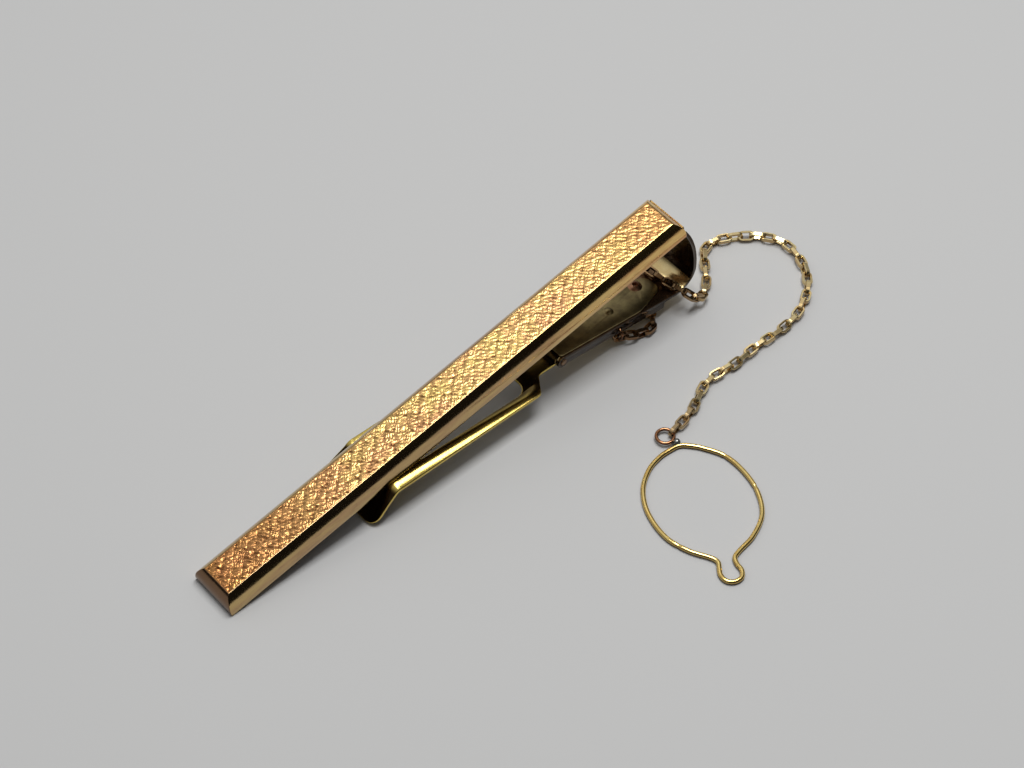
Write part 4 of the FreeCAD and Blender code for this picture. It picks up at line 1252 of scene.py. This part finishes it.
@dataclass
class Studio:
    """Pale floor, soft light from above and the far side, and the camera."""

    camera_place: Place = (-103.998, -120.09, 211.82)
    camera_aim: Place = (8.782, 1.02, 0.0)
    camera_roll: float = 2.0
    camera_clip: tuple[float, float] = (10.0, 10000.0)
    sensor: float = 36.0
    focal_pixels: float = 2480.0
    image_width: float = 1024.0
    floor_half: float = 1500.0
    floor_colour: Colour = (0.62, 0.62, 0.615)
    floor_roughness: float = 0.9
    floor_shine: float = 0.1
    sky_lean: float = 0.55
    sky_band: tuple[float, float] = (0.25, 1.05)
    sky_light: tuple[float, float] = (0.010, 0.50)
    sky_seen: float = 0.6
    lamps: tuple = (
        ("top_lamp", (70.0, 15.0, 420.0), (250.0, 150.0), 1.09),
        ("far_lamp", (90.0, 215.0, 400.0), (120.0, 90.0), 0.03),
    )

    def floor(self) -> None:
        """A plain pale sheet under the clip."""
        half = self.floor_half * MM
        corners = np.array([(-half, -half, 0.0), (half, -half, 0.0), (half, half, 0.0), (-half, half, 0.0)])
        floor = mesh_object("floor", corners, [[0, 1, 2, 3]])
        made = bpy.data.materials.new("pale_floor")
        made.use_nodes = True
        shader = made.node_tree.nodes["Principled BSDF"].inputs
        shader["Base Color"].default_value = (*self.floor_colour, 1.0)
        shader["Roughness"].default_value = self.floor_roughness
        shader["Specular IOR Level"].default_value = self.floor_shine
        floor.data.materials.append(made)

    def camera(self) -> None:
        """The camera at the photograph's place, with its small roll."""
        place, aim = Vector(self.camera_place) * MM, Vector(self.camera_aim) * MM
        data = bpy.data.cameras.new("camera")
        data.sensor_width = self.sensor
        data.lens = self.focal_pixels / self.image_width * self.sensor
        data.clip_start, data.clip_end = (distance * MM for distance in self.camera_clip)
        camera = bpy.data.objects.new("camera", data)
        bpy.context.scene.collection.objects.link(camera)
        look = (aim - place).to_track_quat("-Z", "Y").to_matrix().to_4x4()
        roll = Matrix.Rotation(math.radians(self.camera_roll), 4, "Z")
        camera.matrix_world = Matrix.Translation(place) @ look @ roll
        bpy.context.scene.camera = camera

    def lamp(self, name: str, place: Place, size: tuple[float, float], power: float) -> None:
        """A soft rectangular lamp that faces down.

        Args:
            name: the lamp's name.
            place: its middle in millimetres.
            size: its sides along X and Y in millimetres.
            power: its power in watts.
        """
        data = bpy.data.lights.new(name, "AREA")
        data.shape = "RECTANGLE"
        data.size, data.size_y = size[0] * MM, size[1] * MM
        data.energy = power
        lamp = bpy.data.objects.new(name, data)
        lamp.location = Vector(place) * MM
        bpy.context.scene.collection.objects.link(lamp)

    def world(self) -> None:
        """Soft sky: light above and on the far side, dark low on the near side, pale where seen directly."""
        world = bpy.data.worlds.new("soft_room")
        bpy.context.scene.world = world
        world.use_nodes = True
        tree = world.node_tree
        place = add_node(tree, "ShaderNodeTexCoord").outputs["Generated"]
        parts = add_node(tree, "ShaderNodeSeparateXYZ", {"Vector": place}).outputs
        fed = {0: parts["Y"], 2: parts["Z"]}
        toward = add_node(tree, "ShaderNodeMath", fed, {1: self.sky_lean}, operation="MULTIPLY_ADD")
        names = ("From Min", "From Max", "To Min", "To Max")
        ramp = add_node(
            tree, "ShaderNodeMapRange", {"Value": toward.outputs["Value"]},
            dict(zip(names, self.sky_band + self.sky_light)), interpolation_type="SMOOTHSTEP",
        )
        ray = add_node(tree, "ShaderNodeLightPath").outputs["Is Camera Ray"]
        fed = {"Factor": ray, "A": ramp.outputs["Result"]}
        seen = add_node(tree, "ShaderNodeMix", fed, {"B": self.sky_seen})
        background = tree.nodes["Background"].inputs
        background["Color"].default_value = (1.0, 1.0, 1.0, 1.0)
        tree.links.new(seen.outputs["Result"], background["Strength"])

    def build(self) -> None:
        """Set up the stage, the light and the view."""
        self.floor()
        self.world()
        for lamp in self.lamps:
            self.lamp(*lamp)
        self.camera()
        bpy.context.scene.view_settings.view_transform = "Standard"


class TieClip:
    """The whole clip: its own meshes, rounded copies of the sheet pieces, and the dressed solids."""

    # The pin and the chain's ring lie under the bar and take dark platings as painted shade
    kept = (
        ("hinge_pin", Slot.STRIP, STRIP_BROWN_SHADE),
        ("spring_rivet", Slot.RIVET, RIVET_COPPER),
        ("chain_ring", Slot.CHAIN, EYE_BROWN),
        ("loop_solder", Slot.SOLDER, SOLDER_GREY),
    )
    sheets = (
        ("bow_strip", "clip", Slot.STRIP, STRIP_GOLD, 0.07),
        ("leaf_spring", "clip", Slot.LEAF, LEAF_BRASS, 0.05),
    )
    # Which faces of the strip take painted shade: by their facing, and by their height in millimetres
    arm_up = (0.1398, 0.0, 0.9902)
    arm_top = 7.0
    leg_bottom = 10.0
    bow_shade_bottom = 6.8
    cut_facing = 0.7
    arm_facing = 0.93
    leg_facing = -0.9
    bow_facing = -0.8
    bow_top_facing = -0.25

    def __init__(self, frame: dict) -> None:
        """Keep the frame and make the finishes."""
        self.frame = frame
        self.dresser = Dresser()

    def build_sheets(self) -> None:
        """Make rounded copies in place of the sheet pieces' solids."""
        for name, body, slot, plating, width in self.sheets:
            copy = rounded_copy(self.frame["nodes"][name], f"{name}_rounded", width)
            self.dresser.dress(copy, slot, plating, STRIP_BROWN_SHADE, BOW_SHADE)
            if name == "bow_strip":
                self.mark_painted_shade(copy)
            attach(copy, body)
            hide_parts(name)
            LOG.info("rounded %s with %d faces", name, len(copy.data.polygons))

    def mark_painted_shade(self, strip: bpy.types.Object) -> None:
        """Paint shade on the strip: brown on its inner faces, darker on its cut edges and inside the bow."""
        count = len(strip.data.polygons)
        normal, centre = np.zeros(count * 3), np.zeros(count * 3)
        strip.data.polygons.foreach_get("normal", normal)
        strip.data.polygons.foreach_get("center", centre)
        normal, centre = normal.reshape(-1, 3), centre.reshape(-1, 3) / MM
        along, across, upward = normal.T
        height = centre[:, 2]
        cut = np.abs(across) > self.cut_facing
        arm = (normal @ np.array(self.arm_up) > self.arm_facing) & (height < self.arm_top)
        leg = (upward < self.leg_facing) & (height > self.leg_bottom)
        bow_top = (along < self.bow_top_facing) & (height > self.bow_shade_bottom)
        bow = (along < self.bow_facing) | bow_top
        marks = np.where(bow | cut, 2, np.where(arm | leg, 1, 0))
        strip.data.polygons.foreach_set("material_index", marks.astype(np.int32))

    def build_jaw(self) -> None:
        """Make the jaw in place of its solid."""
        jaw = HingedJaw().build()
        self.dresser.dress(jaw, Slot.STRIP, JAW_GOLD)
        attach(jaw, "jaw")
        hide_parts("jaw")
        LOG.info("jaw with %d faces", len(jaw.data.polygons))

    def build_eye(self) -> bpy.types.Object:
        """Make the eye in place of its solid."""
        eye = EyeRing().build()
        self.dresser.dress(eye, Slot.LOOP, EYE_BROWN)
        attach(eye, "loop")
        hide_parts("loop_eye")
        return eye

    def build_loop(self) -> bpy.types.Object:
        """Make the button loop in place of its solid."""
        loop = ButtonLoop().build()
        self.dresser.dress(loop, Slot.LOOP, LOOP_GOLD)
        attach(loop, "loop")
        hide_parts("button_loop")
        return loop

    def build_bar(self) -> None:
        """Make the hatched bar in place of its solid."""
        sizes = FrontBar()
        pose = BarPose.from_record(self.frame["record"], sizes.length, sizes.height)
        bar = sizes.build(pose)
        self.dresser.dress(bar, Slot.BAR, HATCHED, POLISHED, INSIDE_BROWN_SHADE)
        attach(bar, "clip")
        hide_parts("front_bar")
        LOG.info("bar with %d faces", len(bar.data.polygons))

    def build_chain(self) -> None:
        sizes = SafetyChain()
        chain, last, line = sizes.build()
        links = [name for name in self.frame["nodes"] if name.startswith("chain_links")]
        self.dresser.dress(chain, Slot.CHAIN, CHAIN_GOLD)
        self.dresser.dress(last, Slot.CHAIN, CHAIN_GOLD)
        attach(chain, "clip")
        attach(last, "end_link")
        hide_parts(*links)
        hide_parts("chain_end_link")
        others = [self.frame["nodes"][name] for name in ("chain_ring", "loop_solder")]
        pieces = [last, self.build_eye(), self.build_loop()] + others

    def dress_solids(self) -> None:
        """Give the solids shown as they are their platings, with painted shade on the pin and the ring."""
        for name, slot, plating in self.kept:
            self.dresser.dress(self.frame["nodes"][name], slot, plating)
            LOG.info("dressed %s", name)


def main() -> None:
    """Build the clip and its stage."""
    logging.basicConfig(level=logging.INFO, format="%(name)s: %(message)s")
    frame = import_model()
    clip = TieClip(frame)
    clip.dress_solids()
    clip.build_sheets()
    clip.build_jaw()
    clip.build_bar()
    clip.build_chain()
    Studio().build()


if __name__ == "__main__":
    main()
